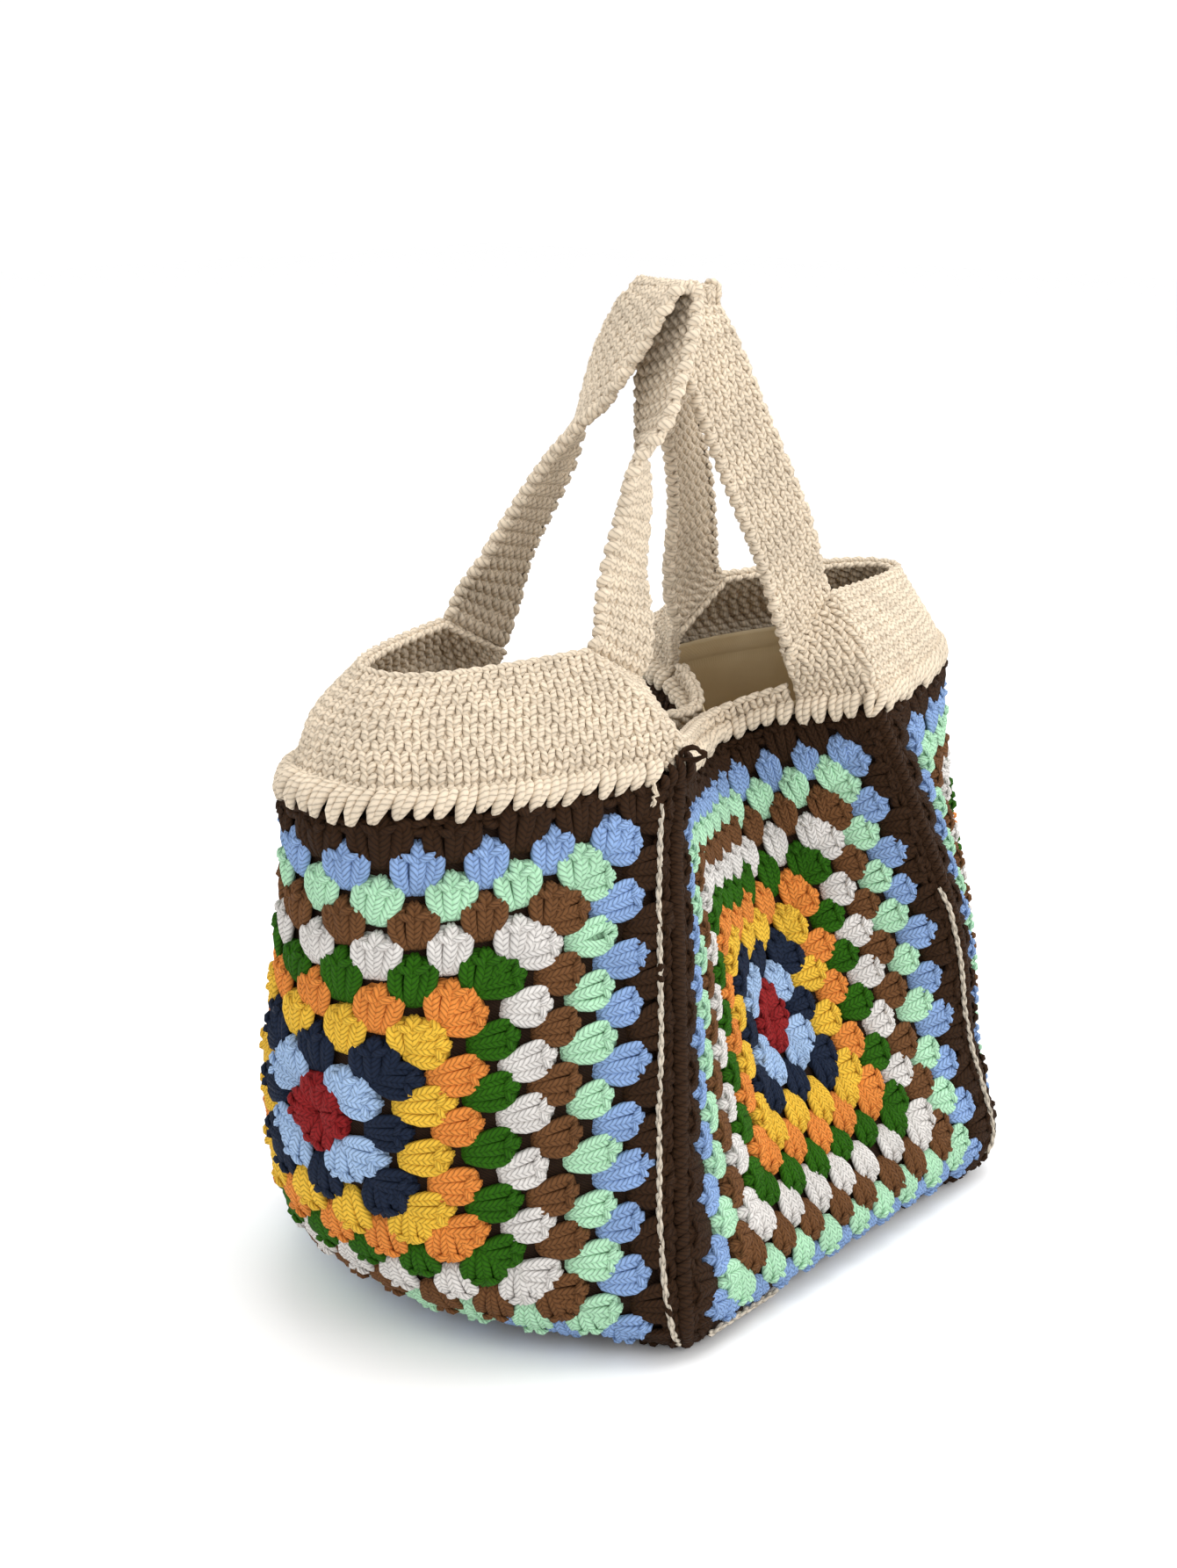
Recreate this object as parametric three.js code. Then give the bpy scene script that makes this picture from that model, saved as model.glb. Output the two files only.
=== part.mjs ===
// A soft crocheted shopping bag: five square panels joined by raised seams, with a plain crocheted
// collar, two straps that meet over the mouth, and a cloth lining.
// Millimetres, +Z up. The origin is the bottom centre, and the front panel faces -Y.
import * as THREE from 'three';

// Driving sizes
const PANEL_SIDE = 270;        // one crocheted square, edge to edge
const CLOTH = 4.5;             // thickness of the crocheted walls
const LINING = 1.2;            // thickness of the lining cloth
const RIDGE_RADIUS = 4.5;      // the raised seams
const COLLAR_RISE = 46;        // height of the front and back collar above the squares
const EDGING_RISE = 13;        // height of the low edging on the two folded sides
const STRAP_RISE = 152;        // from the collar's top edge to the top of the front strap
const STRAP_WIDTH = 40;
const STRAP_CLOTH = 4.5;
const FOOT_RUN = 3 * STRAP_CLOTH;   // how far a strap goes straight up from the collar
const CORNER_WRAP = { front: 12, back: 38 };  // a collar's reach round a corner onto a folded side
const TOP_SETBACK = 3;         // the edging's top row stops this much further from a collar
const SEAM_GAP = 0.9;          // between a panel and the seam beside it
const JOIN_GAP = 0.9;          // between two crocheted pieces that meet edge to edge
const FOOT_GAP = 0.3;          // from the collar's top edge to a strap's foot
const RIM_GAP = 2.0;           // along the rim, where the collar bends inward from the squares
const LINING_GAP = 2.6;        // the lining hangs a little loose inside the cloth

// Facets along and up each piece
const PANEL_ACROSS = 18;
const PANEL_UP = 13;
const SEAM_STEPS = 14;
const SEAM_SIDES = 8;
const FULL_TURN = 360;         // degrees
const STEEP = 0.7;             // a seam that climbs more than this share of its length is an upright one
const CURVE_POINTS = 120;
const COLLAR_ACROSS = 24;
const COLLAR_UP = 5;
const WRAP_ACROSS = 3;
const EDGING_ACROSS = 14;
const EDGING_UP = 2;
const STRAP_STEPS = 50;
const LINING_ACROSS = 13;
const LINING_UP = 7;

// The slumped shape of the squares, row by row from the bottom seam (0) to the top edge (1).
// Every length is a share of PANEL_SIDE. An end bulges out to a round nose, and a folded side is
// drawn in to a fold, which lies a little toward the back. A folded side's rows sway: they dip toward
// the front and rise toward the back.
const ROWS = [
  { at: 0.00, corner: [0.43, 0.42, 0.00], nose: [0.48, 0.00], back: 0.47,
    fold: [0.39, 0.00, 0.00], round: 2.2, crease: 0.39, sway: 0 },
  { at: 0.12, corner: [0.45, 0.45, 0.07], nose: [0.67, 0.06], back: 0.62,
    fold: [0.46, 0.01, 0.06], round: 2.4, crease: 0.43, sway: 0 },
  { at: 0.30, corner: [0.41, 0.42, 0.26], nose: [0.78, 0.21], back: 0.71,
    fold: [0.37, 0.03, 0.20], round: 2.6, crease: 0.33, sway: 0 },
  { at: 0.50, corner: [0.39, 0.40, 0.46], nose: [0.81, 0.41], back: 0.72,
    fold: [0.25, 0.06, 0.38], round: 2.6, crease: 0.13, sway: 0 },
  { at: 0.70, corner: [0.345, 0.355, 0.64], nose: [0.80, 0.61], back: 0.72,
    fold: [0.17, 0.09, 0.56], round: 2.6, crease: 0.07, sway: 0 },
  { at: 0.88, corner: [0.30, 0.31, 0.80], nose: [0.79, 0.79], back: 0.73,
    fold: [0.09, 0.11, 0.73], round: 2.7, crease: 0.07, sway: 0.007 },
  { at: 1.00, corner: [0.275, 0.27, 0.91], nose: [0.79, 0.92], back: 0.73,
    fold: [0.035, 0.12, 0.825], round: 3.0, crease: 0.08, sway: 0.015 },
];

// The collar above the squares. Corner and nose are shares of PANEL_SIDE across and of COLLAR_RISE up.
// The side edge has come the share along from the edging to a strap's foot, and up by the share rise.
// The row leans to one side by a share of PANEL_SIDE.
const COLLAR_ROWS = {
  front: [
    { at: 0.60, corner: [0.232, 0.285, 0.63], nose: [0.72, 0.62], along: 0.75, rise: 0.42,
      lean: -0.030, round: 2.6 },
    { at: 1.00, corner: [0.166, 0.315, 1.00], nose: [0.625, 0.96], along: 1.00, rise: 0.56,
      lean: -0.048, round: 2.6 },
  ],
  back: [
    { at: 0.60, corner: [0.215, 0.285, 0.63], nose: [0.69, 0.62], along: 0.75, rise: 0.38,
      lean: 0.010, round: 2.6 },
    { at: 1.00, corner: [0.125, 0.315, 1.00], nose: [0.66, 0.94], along: 1.00, rise: 0.52,
      lean: 0.020, round: 2.6 },
  ],
};
// The outer edge of a strap's foot, as shares of PANEL_SIDE
const FEET = { front: [0.160, 0.178], back: [0.125, 0.178] };
const EDGING_FOLD = 0.022;     // where the top of the edging folds, a share of PANEL_SIDE
const EDGING_LEAN = 0.965;     // the edging's corner is drawn in to this share of the row below

// The strap routes: height as a share of STRAP_RISE, then x and y as shares of PANEL_SIDE, and the
// compass angle of the strap's width, in degrees. Both ends run on from the collar's own top edge.
const FRONT_STRAP = [
  [0.20, 0.094, -0.198, 106], [0.36, 0.086, -0.166, 113], [0.51, 0.088, -0.153, 124],
  [0.62, 0.095, -0.128, 146], [0.75, 0.088, -0.101, 158], [0.92, 0.071, -0.062, 166],
  [0.99, 0.061, -0.053, 165], [1.01, 0.056, -0.069, 161], [0.97, 0.050, -0.085, 157],
  [0.92, 0.034, -0.099, 160], [0.79, -0.012, -0.112, 153], [0.68, -0.058, -0.110, 141],
  [0.47, -0.113, -0.134, 110], [0.20, -0.176, -0.190, 99],
];
const BACK_STRAP = [
  [0.20, 0.137, 0.182, 265], [0.36, 0.122, 0.142, 263], [0.61, 0.088, 0.088, 264],
  [0.86, 0.047, 0.048, 269], [0.95, 0.003, 0.052, 273], [0.86, -0.028, 0.080, 272],
  [0.63, -0.066, 0.126, 288], [0.32, -0.082, 0.185, 282],
];

const COLOURS = {
  brown: { color: 0x3c2616, roughness: 0.95 },
  cream: { color: 0xd8c8b4, roughness: 0.92 },
  lining: { color: 0x96876a, roughness: 0.6 },
};

const vector = (x, y, z) => new THREE.Vector3(x, y, z);

// A smooth curve through values at uneven stations: cubic pieces with slopes from the neighbours.
function smooth(stations, values, at) {
  const last = stations.length - 1;
  let i = 0;
  while (i < last - 1 && at > stations[i + 1]) i += 1;
  const slope = (k) => {
    const from = Math.max(k - 1, 0);
    const to = Math.min(k + 1, last);
    return (values[to] - values[from]) / (stations[to] - stations[from]);
  };
  const span = stations[i + 1] - stations[i];
  const p = (at - stations[i]) / span;
  const a = 2 * p ** 3 - 3 * p ** 2 + 1;
  const b = p ** 3 - 2 * p ** 2 + p;
  const c = 3 * p ** 2 - 2 * p ** 3;
  const d = p ** 3 - p ** 2;
  return a * values[i] + b * span * slope(i) + c * values[i + 1] + d * span * slope(i + 1);
}

// One level of the bag in millimetres, from the table of squares.
function levelAt(at) {
  const stations = ROWS.map((row) => row.at);
  const read = (pick) => smooth(stations, ROWS.map(pick), at);
  const length = (pick) => read(pick) * PANEL_SIDE;
  const raised = (pick) => vector(length((r) => pick(r)[0]), length((r) => pick(r)[1]),
    length((r) => pick(r)[2]) + RIDGE_RADIUS);
  return {
    corner: raised((r) => r.corner),
    noseZ: length((r) => r.nose[1]) + RIDGE_RADIUS,
    noseY: { front: length((r) => r.nose[0]), back: length((r) => r.back) },
    fold: raised((r) => r.fold),
    round: read((r) => r.round),
    crease: length((r) => r.crease),
    sway: length((r) => r.sway),
  };
}

// The round end of one level, from the left corner to the right one, as seen from in front of it.
function endCurve(level, side) {
  const points = [];
  for (let i = 0; i <= CURVE_POINTS; i += 1) {
    const p = -1 + (2 * i) / CURVE_POINTS;
    const out = Math.abs(p) ** level.round;
    const y = THREE.MathUtils.lerp(level.noseY[side], level.corner.y, out);
    const z = THREE.MathUtils.lerp(level.noseZ, level.corner.z, out);
    const facing = side === 'front' ? 1 : -1;
    points.push(vector(facing * level.corner.x * p, -facing * y, z));
  }
  return points;
}

const SWAY_PEAK = 2.6;         // makes the highest value of p (1 - p p) one

// The folded side of one level: right runs from the front corner to the back one, left the other way.
function foldedCurve(level, side) {
  const points = [];
  const rounded = (v) => Math.hypot(v, level.crease) - level.crease;
  for (let i = 0; i <= CURVE_POINTS; i += 1) {
    const p = -1 + (2 * i) / CURVE_POINTS;
    const out = rounded(p * level.corner.y) / rounded(level.corner.y);
    const facing = side === 'right' ? 1 : -1;
    const x = THREE.MathUtils.lerp(level.fold.x, level.corner.x, out);
    const y = facing * level.corner.y * p + level.fold.y * (1 - out);
    const dip = level.sway * SWAY_PEAK * facing * p * (1 - p * p);
    points.push(vector(facing * x, y, THREE.MathUtils.lerp(level.fold.z, level.corner.z, out) + dip));
  }
  return points;
}

const curveOf = (level, side) => (side === 'front' || side === 'back'
  ? endCurve(level, side) : foldedCurve(level, side));

// Spaced points on a polyline, leaving out a length at its start and its end. An ease above 1 packs them
// closer at the start.
function resample(points, count, skipStart = 0, skipEnd = skipStart, ease = 1) {
  const reach = [0];
  for (let i = 1; i < points.length; i += 1) {
    reach.push(reach[i - 1] + points[i].distanceTo(points[i - 1]));
  }
  const total = reach[reach.length - 1];
  const result = [];
  let k = 0;
  for (let i = 0; i <= count; i += 1) {
    const wanted = skipStart + (total - skipStart - skipEnd) * (i / count) ** ease;
    while (k < points.length - 2 && reach[k + 1] < wanted) k += 1;
    const share = (wanted - reach[k]) / (reach[k + 1] - reach[k]);
    result.push(points[k].clone().lerp(points[k + 1], share));
  }
  return result;
}

function bodyFrom(vertices, triangles) {
  const positions = new Float32Array(vertices.flatMap((v) => [v.x, v.y, v.z]));
  let volume = 0;
  const [a, b, c] = [vector(0, 0, 0), vector(0, 0, 0), vector(0, 0, 0)];
  for (const [i, j, k] of triangles) {
    a.copy(vertices[i]);
    b.copy(vertices[j]);
    c.copy(vertices[k]);
    volume += a.dot(b.cross(c));
  }
  const order = volume > 0 ? triangles : triangles.map(([i, j, k]) => [i, k, j]);
  const geometry = new THREE.BufferGeometry();
  geometry.setAttribute('position', new THREE.BufferAttribute(positions, 3));
  geometry.setIndex(order.flat());
  geometry.computeVertexNormals();
  return geometry;
}

// The direction square to a grid of points at one of its points. A ring closes on itself.
function normalAt(grid, i, j, ring = false) {
  const rows = grid.length;
  const columns = grid[0].length;
  const before = ring ? (j + columns - 1) % columns : Math.max(j - 1, 0);
  const after = ring ? (j + 1) % columns : Math.min(j + 1, columns - 1);
  const across = grid[i][after].clone().sub(grid[i][before]);
  const up = grid[Math.min(i + 1, rows - 1)][j].clone().sub(grid[Math.max(i - 1, 0)][j]);
  return across.cross(up).normalize();
}

// A closed sheet of even thickness around a grid of points.
function sheet(grid, thickness) {
  const rows = grid.length;
  const columns = grid[0].length;
  const vertices = [];
  for (const way of [1, -1]) {
    for (let i = 0; i < rows; i += 1) {
      for (let j = 0; j < columns; j += 1) {
        vertices.push(grid[i][j].clone().addScaledVector(normalAt(grid, i, j), (way * thickness) / 2));
      }
    }
  }
  const outer = (i, j) => i * columns + j;
  const inner = (i, j) => rows * columns + outer(i, j);
  const triangles = [];
  const quad = (a, b, c, d) => triangles.push([a, b, c], [a, c, d]);
  for (let i = 0; i < rows - 1; i += 1) {
    for (let j = 0; j < columns - 1; j += 1) {
      quad(outer(i, j), outer(i, j + 1), outer(i + 1, j + 1), outer(i + 1, j));
      quad(inner(i, j), inner(i + 1, j), inner(i + 1, j + 1), inner(i, j + 1));
    }
    quad(outer(i, 0), outer(i + 1, 0), inner(i + 1, 0), inner(i, 0));
    quad(outer(i, columns - 1), inner(i, columns - 1), inner(i + 1, columns - 1), outer(i + 1, columns - 1));
  }
  for (let j = 0; j < columns - 1; j += 1) {
    quad(outer(0, j), inner(0, j), inner(0, j + 1), outer(0, j + 1));
    quad(outer(rows - 1, j), outer(rows - 1, j + 1), inner(rows - 1, j + 1), inner(rows - 1, j));
  }
  return bodyFrom(vertices, triangles);
}

// A round rod along a list of points.
function rod(points, radius) {
  const vertices = [];
  const triangles = [];
  const upright = vector(0, 0, 1);
  points.forEach((point, i) => {
    const ahead = points[Math.min(i + 1, points.length - 1)].clone();
    const along = ahead.sub(points[Math.max(i - 1, 0)]).normalize();
    const level = Math.abs(along.z) > STEEP ? vector(1, 0, 0) : upright;
    const side = along.clone().cross(level).normalize();
    const over = side.clone().cross(along);
    for (let k = 0; k < SEAM_SIDES; k += 1) {
      const turn = ((k + 0.5) / SEAM_SIDES) * 2 * Math.PI;
      vertices.push(point.clone().addScaledVector(side, radius * Math.cos(turn))
        .addScaledVector(over, radius * Math.sin(turn)));
    }
  });
  const spot = (i, k) => i * SEAM_SIDES + (k % SEAM_SIDES);
  for (let i = 0; i < points.length - 1; i += 1) {
    for (let k = 0; k < SEAM_SIDES; k += 1) {
      triangles.push([spot(i, k), spot(i, k + 1), spot(i + 1, k + 1)]);
      triangles.push([spot(i, k), spot(i + 1, k + 1), spot(i + 1, k)]);
    }
  }
  for (let k = 1; k < SEAM_SIDES - 1; k += 1) {
    triangles.push([spot(0, 0), spot(0, k + 1), spot(0, k)]);
    triangles.push([spot(points.length - 1, 0), spot(points.length - 1, k), spot(points.length - 1, k + 1)]);
  }
  return bodyFrom(vertices, triangles);
}

const bag = new THREE.Group();

function add(name, geometry, look) {
  const mesh = new THREE.Mesh(geometry, new THREE.MeshStandardMaterial({ ...COLOURS[look], metalness: 0 }));
  mesh.name = name;
  bag.add(mesh);
}

// The four upright squares: each column of cloth stops short of the seam below it and the collar above it
const TOP_SKIP = RIM_GAP / 2 / PANEL_SIDE;
const EDGE_SKIP = RIDGE_RADIUS + SEAM_GAP;
const LOW_SKIP = EDGE_SKIP + SEAM_GAP / 3;
const LEVELS = 60;
const BULGE_EASE = 1.35;       // the rows are closest where the cloth bulges over the bottom seam
for (const side of ['front', 'right', 'back', 'left']) {
  const levels = [];
  for (let i = 0; i <= LEVELS; i += 1) {
    levels.push(resample(curveOf(levelAt(i / LEVELS), side), PANEL_ACROSS, EDGE_SKIP));
  }
  const columns = levels[0].map((_, j) => (
    resample(levels.map((level) => level[j]), PANEL_UP, LOW_SKIP, RIM_GAP / 2, BULGE_EASE)));
  add(`panel_${side}`, sheet(columns, CLOTH), 'brown');
}

// The bottom square lies flat inside the bottom seams
{
  const level = levelAt(0);
  const front = endCurve(level, 'front');
  const back = endCurve(level, 'back');
  const grid = [];
  for (let i = 0; i <= PANEL_UP; i += 1) {
    const across = i / PANEL_UP;
    const row = [];
    for (let j = 0; j <= PANEL_UP; j += 1) {
      const place = j / PANEL_UP;
      const spot = Math.round(place * CURVE_POINTS);
      const point = front[spot].clone().lerp(back[CURVE_POINTS - spot], across);
      const middle = 1 - Math.abs(2 * across - 1) ** 2;
      const pull = 1 - (middle * (level.corner.x - level.fold.x)) / level.corner.x;
      const inset = 1 - EDGE_SKIP / level.fold.x;
      row.push(vector(point.x * pull * inset, point.y * inset, CLOTH / 2));
    }
    grid.push(row);
  }
  add('panel_bottom', sheet(grid, CLOTH), 'brown');
}

// The raised seams: four upright corners and four bottom edges
const CORNERS = { front_right: [1, -1], back_right: [1, 1], back_left: [-1, 1], front_left: [-1, -1] };
for (const [name, [x, y]] of Object.entries(CORNERS)) {
  const points = [];
  for (let i = 0; i <= SEAM_STEPS; i += 1) {
    const { corner } = levelAt((1 - (RIM_GAP + CLOTH / 2) / PANEL_SIDE) * (i / SEAM_STEPS));
    points.push(vector(x * corner.x, y * corner.y, corner.z));
  }
  add(`seam_${name}`, rod(points, RIDGE_RADIUS), 'brown');
}
for (const side of ['front', 'right', 'back', 'left']) {
  const skip = RIDGE_RADIUS + 2 * SEAM_GAP;
  const edge = resample(curveOf(levelAt(0), side), SEAM_STEPS, skip);
  add(`seam_bottom_${side}`, rod(edge, RIDGE_RADIUS), 'brown');
}

// The level that the collar and the edging start from, and the top of the edging
const rim = levelAt(1);
const edgingTop = { ...rim };
edgingTop.corner = vector(rim.corner.x * EDGING_LEAN, rim.corner.y, rim.corner.z + EDGING_RISE);
edgingTop.fold = vector(EDGING_FOLD * PANEL_SIDE, rim.fold.y, rim.fold.z + EDGING_RISE);
edgingTop.noseZ = rim.noseZ + EDGING_RISE;
const stepIn = EDGING_RISE / COLLAR_RISE;
const drawnIn = (side) => {
  const next = COLLAR_ROWS[side][0];
  return THREE.MathUtils.lerp(rim.noseY[side], next.nose[0] * PANEL_SIDE, stepIn / next.at);
};
edgingTop.noseY = { front: drawnIn('front'), back: drawnIn('back') };

// The low edging along the top of each folded side, between the two collars
for (const side of ['right', 'left']) {
  const order = side === 'right' ? ['front', 'back'] : ['back', 'front'];
  const skips = order.map((end) => CORNER_WRAP[end] + JOIN_GAP);
  const low = resample(foldedCurve(rim, side), EDGING_ACROSS, ...skips);
  const setBack = skips.map((skip) => skip + TOP_SETBACK);
  const high = resample(foldedCurve(edgingTop, side), EDGING_ACROSS, ...setBack);
  const grid = [];
  for (let i = 0; i <= EDGING_UP; i += 1) {
    const share = THREE.MathUtils.lerp(RIM_GAP / 4 / EDGING_RISE, 1, i / EDGING_UP);
    grid.push(low.map((point, j) => point.clone().lerp(high[j], share)));
  }
  add(`edging_${side}`, sheet(grid, CLOTH), 'cream');
}

// The collar's four levels on the right half of one end: nose, corner and side edge
function collarLevels(side) {
  const y = side === 'front' ? -1 : 1;
  const wrapOf = (level) => {
    const curve = foldedCurve(level, 'right');
    const fromCorner = side === 'front' ? curve : curve.reverse();
    return resample(fromCorner, 1, CORNER_WRAP[side], 0)[0];
  };
  const drawn = [rim, edgingTop].map((level, i) => ({
    at: i * stepIn,
    corner: vector(level.corner.x, y * level.corner.y, level.corner.z),
    nose: vector(0, y * level.noseY[side], level.noseZ),
    wrap: wrapOf(level),
    lean: 0,
    round: level.round,
  }));
  const high = (share) => rim.corner.z + share * COLLAR_RISE;
  const foot = vector(FEET[side][0] * PANEL_SIDE, y * FEET[side][1] * PANEL_SIDE, high(1));
  const tabled = COLLAR_ROWS[side].map((row) => {
    const wrap = drawn[1].wrap.clone().lerp(foot, row.along);
    wrap.z = high(row.rise);
    return {
      at: row.at,
      corner: vector(row.corner[0] * PANEL_SIDE, y * row.corner[1] * PANEL_SIDE, high(row.corner[2])),
      nose: vector(0, y * row.nose[0] * PANEL_SIDE, high(row.nose[1])),
      wrap,
      lean: row.lean * PANEL_SIDE,
      round: row.round,
    };
  });
  return [...drawn, ...tabled];
}

function collarRow(levels, at) {
  const stations = levels.map((level) => level.at);
  const read = (pick) => smooth(stations, levels.map(pick), at);
  const spot = (name) => vector(read((l) => l[name].x), read((l) => l[name].y), read((l) => l[name].z));
  const [corner, nose, wrap] = [spot('corner'), spot('nose'), spot('wrap')];
  const round = read((l) => l.round);
  const half = [];
  for (let i = 0; i <= CURVE_POINTS; i += 1) {
    const p = i / CURVE_POINTS;
    const out = p ** round;
    half.push(vector(corner.x * p, THREE.MathUtils.lerp(nose.y, corner.y, out),
      THREE.MathUtils.lerp(nose.z, corner.z, out)));
  }
  const right = resample(half, COLLAR_ACROSS / 2);
  for (let i = 1; i <= WRAP_ACROSS; i += 1) right.push(corner.clone().lerp(wrap, i / WRAP_ACROSS));
  const left = right.slice(1).reverse().map((point) => vector(-point.x, point.y, point.z));
  const lean = vector(read((l) => l.lean), 0, 0);
  return [...left, ...right].map((point) => point.clone().add(lean));
}

for (const side of ['front', 'back']) {
  const levels = collarLevels(side);
  const grid = [];
  for (let i = 0; i <= COLLAR_UP; i += 1) {
    const at = THREE.MathUtils.lerp(RIM_GAP / 2 / COLLAR_RISE, 1, i / COLLAR_UP);
    grid.push(collarRow(levels, at));
  }
  add(`collar_${side}`, sheet(grid, CLOTH), 'cream');
}

// A strap is a flat band swept along its route. Its ends carry on from the collar's slanting side edges.
function strap(side, stations) {
  const top = collarLevels(side)[3];
  const base = top.corner.z;
  const feet = [1, -1].map((mirror) => {
    const place = (spot) => vector(mirror * spot.x + top.lean, spot.y, spot.z);
    const [inner, outer] = [place(top.corner), place(top.wrap)];
    const wide = outer.clone().sub(inner).normalize();
    const rise = vector(0, 0, 1).addScaledVector(wide, -wide.z).normalize();
    return { centre: inner.clone().add(outer).multiplyScalar(0.5), wide, rise };
  });
  const footStation = (foot, high) => {
    const angle = (THREE.MathUtils.radToDeg(Math.atan2(foot.wide.y, foot.wide.x)) + FULL_TURN) % FULL_TURN;
    return { spot: foot.centre.clone().addScaledVector(foot.rise, high), angle };
  };
  const low = FOOT_GAP + STRAP_CLOTH / 2;
  const route = [
    footStation(feet[0], low),
    footStation(feet[0], FOOT_RUN),
    ...stations.map(([rise, x, y, angle]) => (
      { spot: vector(x * PANEL_SIDE, y * PANEL_SIDE, base + rise * STRAP_RISE), angle })),
    footStation(feet[1], FOOT_RUN),
    footStation(feet[1], low),
  ];
  const curve = new THREE.CatmullRomCurve3(route.map((r) => r.spot), false, 'centripetal');
  const places = route.map((_, i) => i);
  const length = curve.getLength();
  const grid = [[], []];
  for (let i = 0; i <= STRAP_STEPS; i += 1) {
    const u = curve.getUtoTmapping(i / STRAP_STEPS);
    const along = curve.getTangent(u);
    const angle = smooth(places, route.map((r) => r.angle), u * (route.length - 1));
    const turn = THREE.MathUtils.degToRad(angle);
    let wide = vector(Math.cos(turn), Math.sin(turn), 0);
    wide.addScaledVector(along, -wide.dot(along)).normalize();
    const reach = (length * i) / STRAP_STEPS;
    for (const [from, foot] of [[reach, feet[0]], [length - reach, feet[1]]]) {
      wide = foot.wide.clone().lerp(wide, THREE.MathUtils.smoothstep(from, 0, STRAP_WIDTH)).normalize();
    }
    const point = curve.getPoint(u);
    grid[0].push(point.clone().addScaledVector(wide, -STRAP_WIDTH / 2));
    grid[1].push(point.clone().addScaledVector(wide, STRAP_WIDTH / 2));
  }
  return sheet(grid, STRAP_CLOTH);
}

add('strap_front', strap('front', FRONT_STRAP), 'cream');
add('strap_back', strap('back', BACK_STRAP), 'cream');

// The lining: an open sack of thin cloth that follows the inside of the squares
{
  const floor = CLOTH + LINING;
  const overSeam = 2 * RIDGE_RADIUS + 2 * LINING;
  const ringAt = (at) => ['front', 'right', 'back', 'left']
    .flatMap((side) => resample(curveOf(levelAt(at), side), LINING_ACROSS).slice(0, -1));
  const rings = [];
  const START = 0.105;         // the lowest level that the lining's wall follows
  const LOW_SLACK = 6.5;        // how much further in it hangs where the cloth bulges over the bottom seam
  const SOLE = 0.89;           // its sole, as shares of the bottom outline and of the sole itself
  const FLAT = 0.88;
  for (let i = 0; i <= LINING_UP; i += 1) {
    rings.push(ringAt(THREE.MathUtils.lerp(START, 1 - TOP_SKIP - LINING_GAP / PANEL_SIDE, i / LINING_UP)));
  }
  const inward = CLOTH / 2 + LINING_GAP + LINING / 2;
  const atCorner = RIDGE_RADIUS + LINING_GAP + LINING;
  const fitted = rings.map((ring, i) => ring.map((point, j) => {
    const near = Math.min(j % LINING_ACROSS, LINING_ACROSS - (j % LINING_ACROSS));
    const folded = Math.floor(j / LINING_ACROSS) % 2 === 1;
    const depth = near === 0 ? atCorner : inward + (folded ? LINING : 0);
    const slack = i === 0 ? LOW_SLACK : 0;
    return point.clone().addScaledVector(normalAt(rings, i, j, true), -depth - slack);
  }));
  const sole = ringAt(0).map((point) => vector(point.x * SOLE, point.y * SOLE, overSeam));
  const flat = sole.map((point) => vector(point.x * FLAT, point.y * FLAT, floor));
  const inner = flat.map((point) => vector(point.x / 2, point.y / 2, floor));
  const all = [inner, flat, sole, ...fitted];
  const count = all[0].length;
  const vertices = [];
  for (const way of [1, -1]) {
    for (let i = 0; i < all.length; i += 1) {
      for (let j = 0; j < count; j += 1) {
        const push = normalAt(all, i, j, true).multiplyScalar((way * LINING) / 2);
        vertices.push(all[i][j].clone().add(push));
      }
    }
    vertices.push(vector(0, 0, floor - (way * LINING) / 2));
  }
  const layer = all.length * count + 1;
  const spot = (way, i, j) => way * layer + i * count + (j % count);
  const triangles = [];
  for (let j = 0; j < count; j += 1) {
    for (let i = 0; i < all.length - 1; i += 1) {
      triangles.push([spot(0, i, j), spot(0, i, j + 1), spot(0, i + 1, j + 1)]);
      triangles.push([spot(0, i, j), spot(0, i + 1, j + 1), spot(0, i + 1, j)]);
      triangles.push([spot(1, i, j), spot(1, i + 1, j + 1), spot(1, i, j + 1)]);
      triangles.push([spot(1, i, j), spot(1, i + 1, j), spot(1, i + 1, j + 1)]);
    }
    const top = all.length - 1;
    triangles.push([spot(0, top, j), spot(0, top, j + 1), spot(1, top, j + 1)]);
    triangles.push([spot(0, top, j), spot(1, top, j + 1), spot(1, top, j)]);
    triangles.push([layer - 1, spot(0, 0, j + 1), spot(0, 0, j)]);
    triangles.push([2 * layer - 1, spot(1, 0, j), spot(1, 0, j + 1)]);
  }
  add('lining', bodyFrom(vertices, triangles), 'lining');
}

export default bag;
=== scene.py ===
# %% [markdown]
# # A crocheted shopping bag, dressed for a photograph
#
# The bag is five crocheted squares joined by raised seams. Plain cream crochet runs round the mouth, tall at
# the two ends and low on the folded sides, and two cream straps rise above it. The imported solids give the
# sizes. This script gives each solid its yarn: thousands of small strands, laid on the same curved cloth as
# the solid they stand for. Last, a satin lining is hung inside.

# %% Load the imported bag
import math

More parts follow.
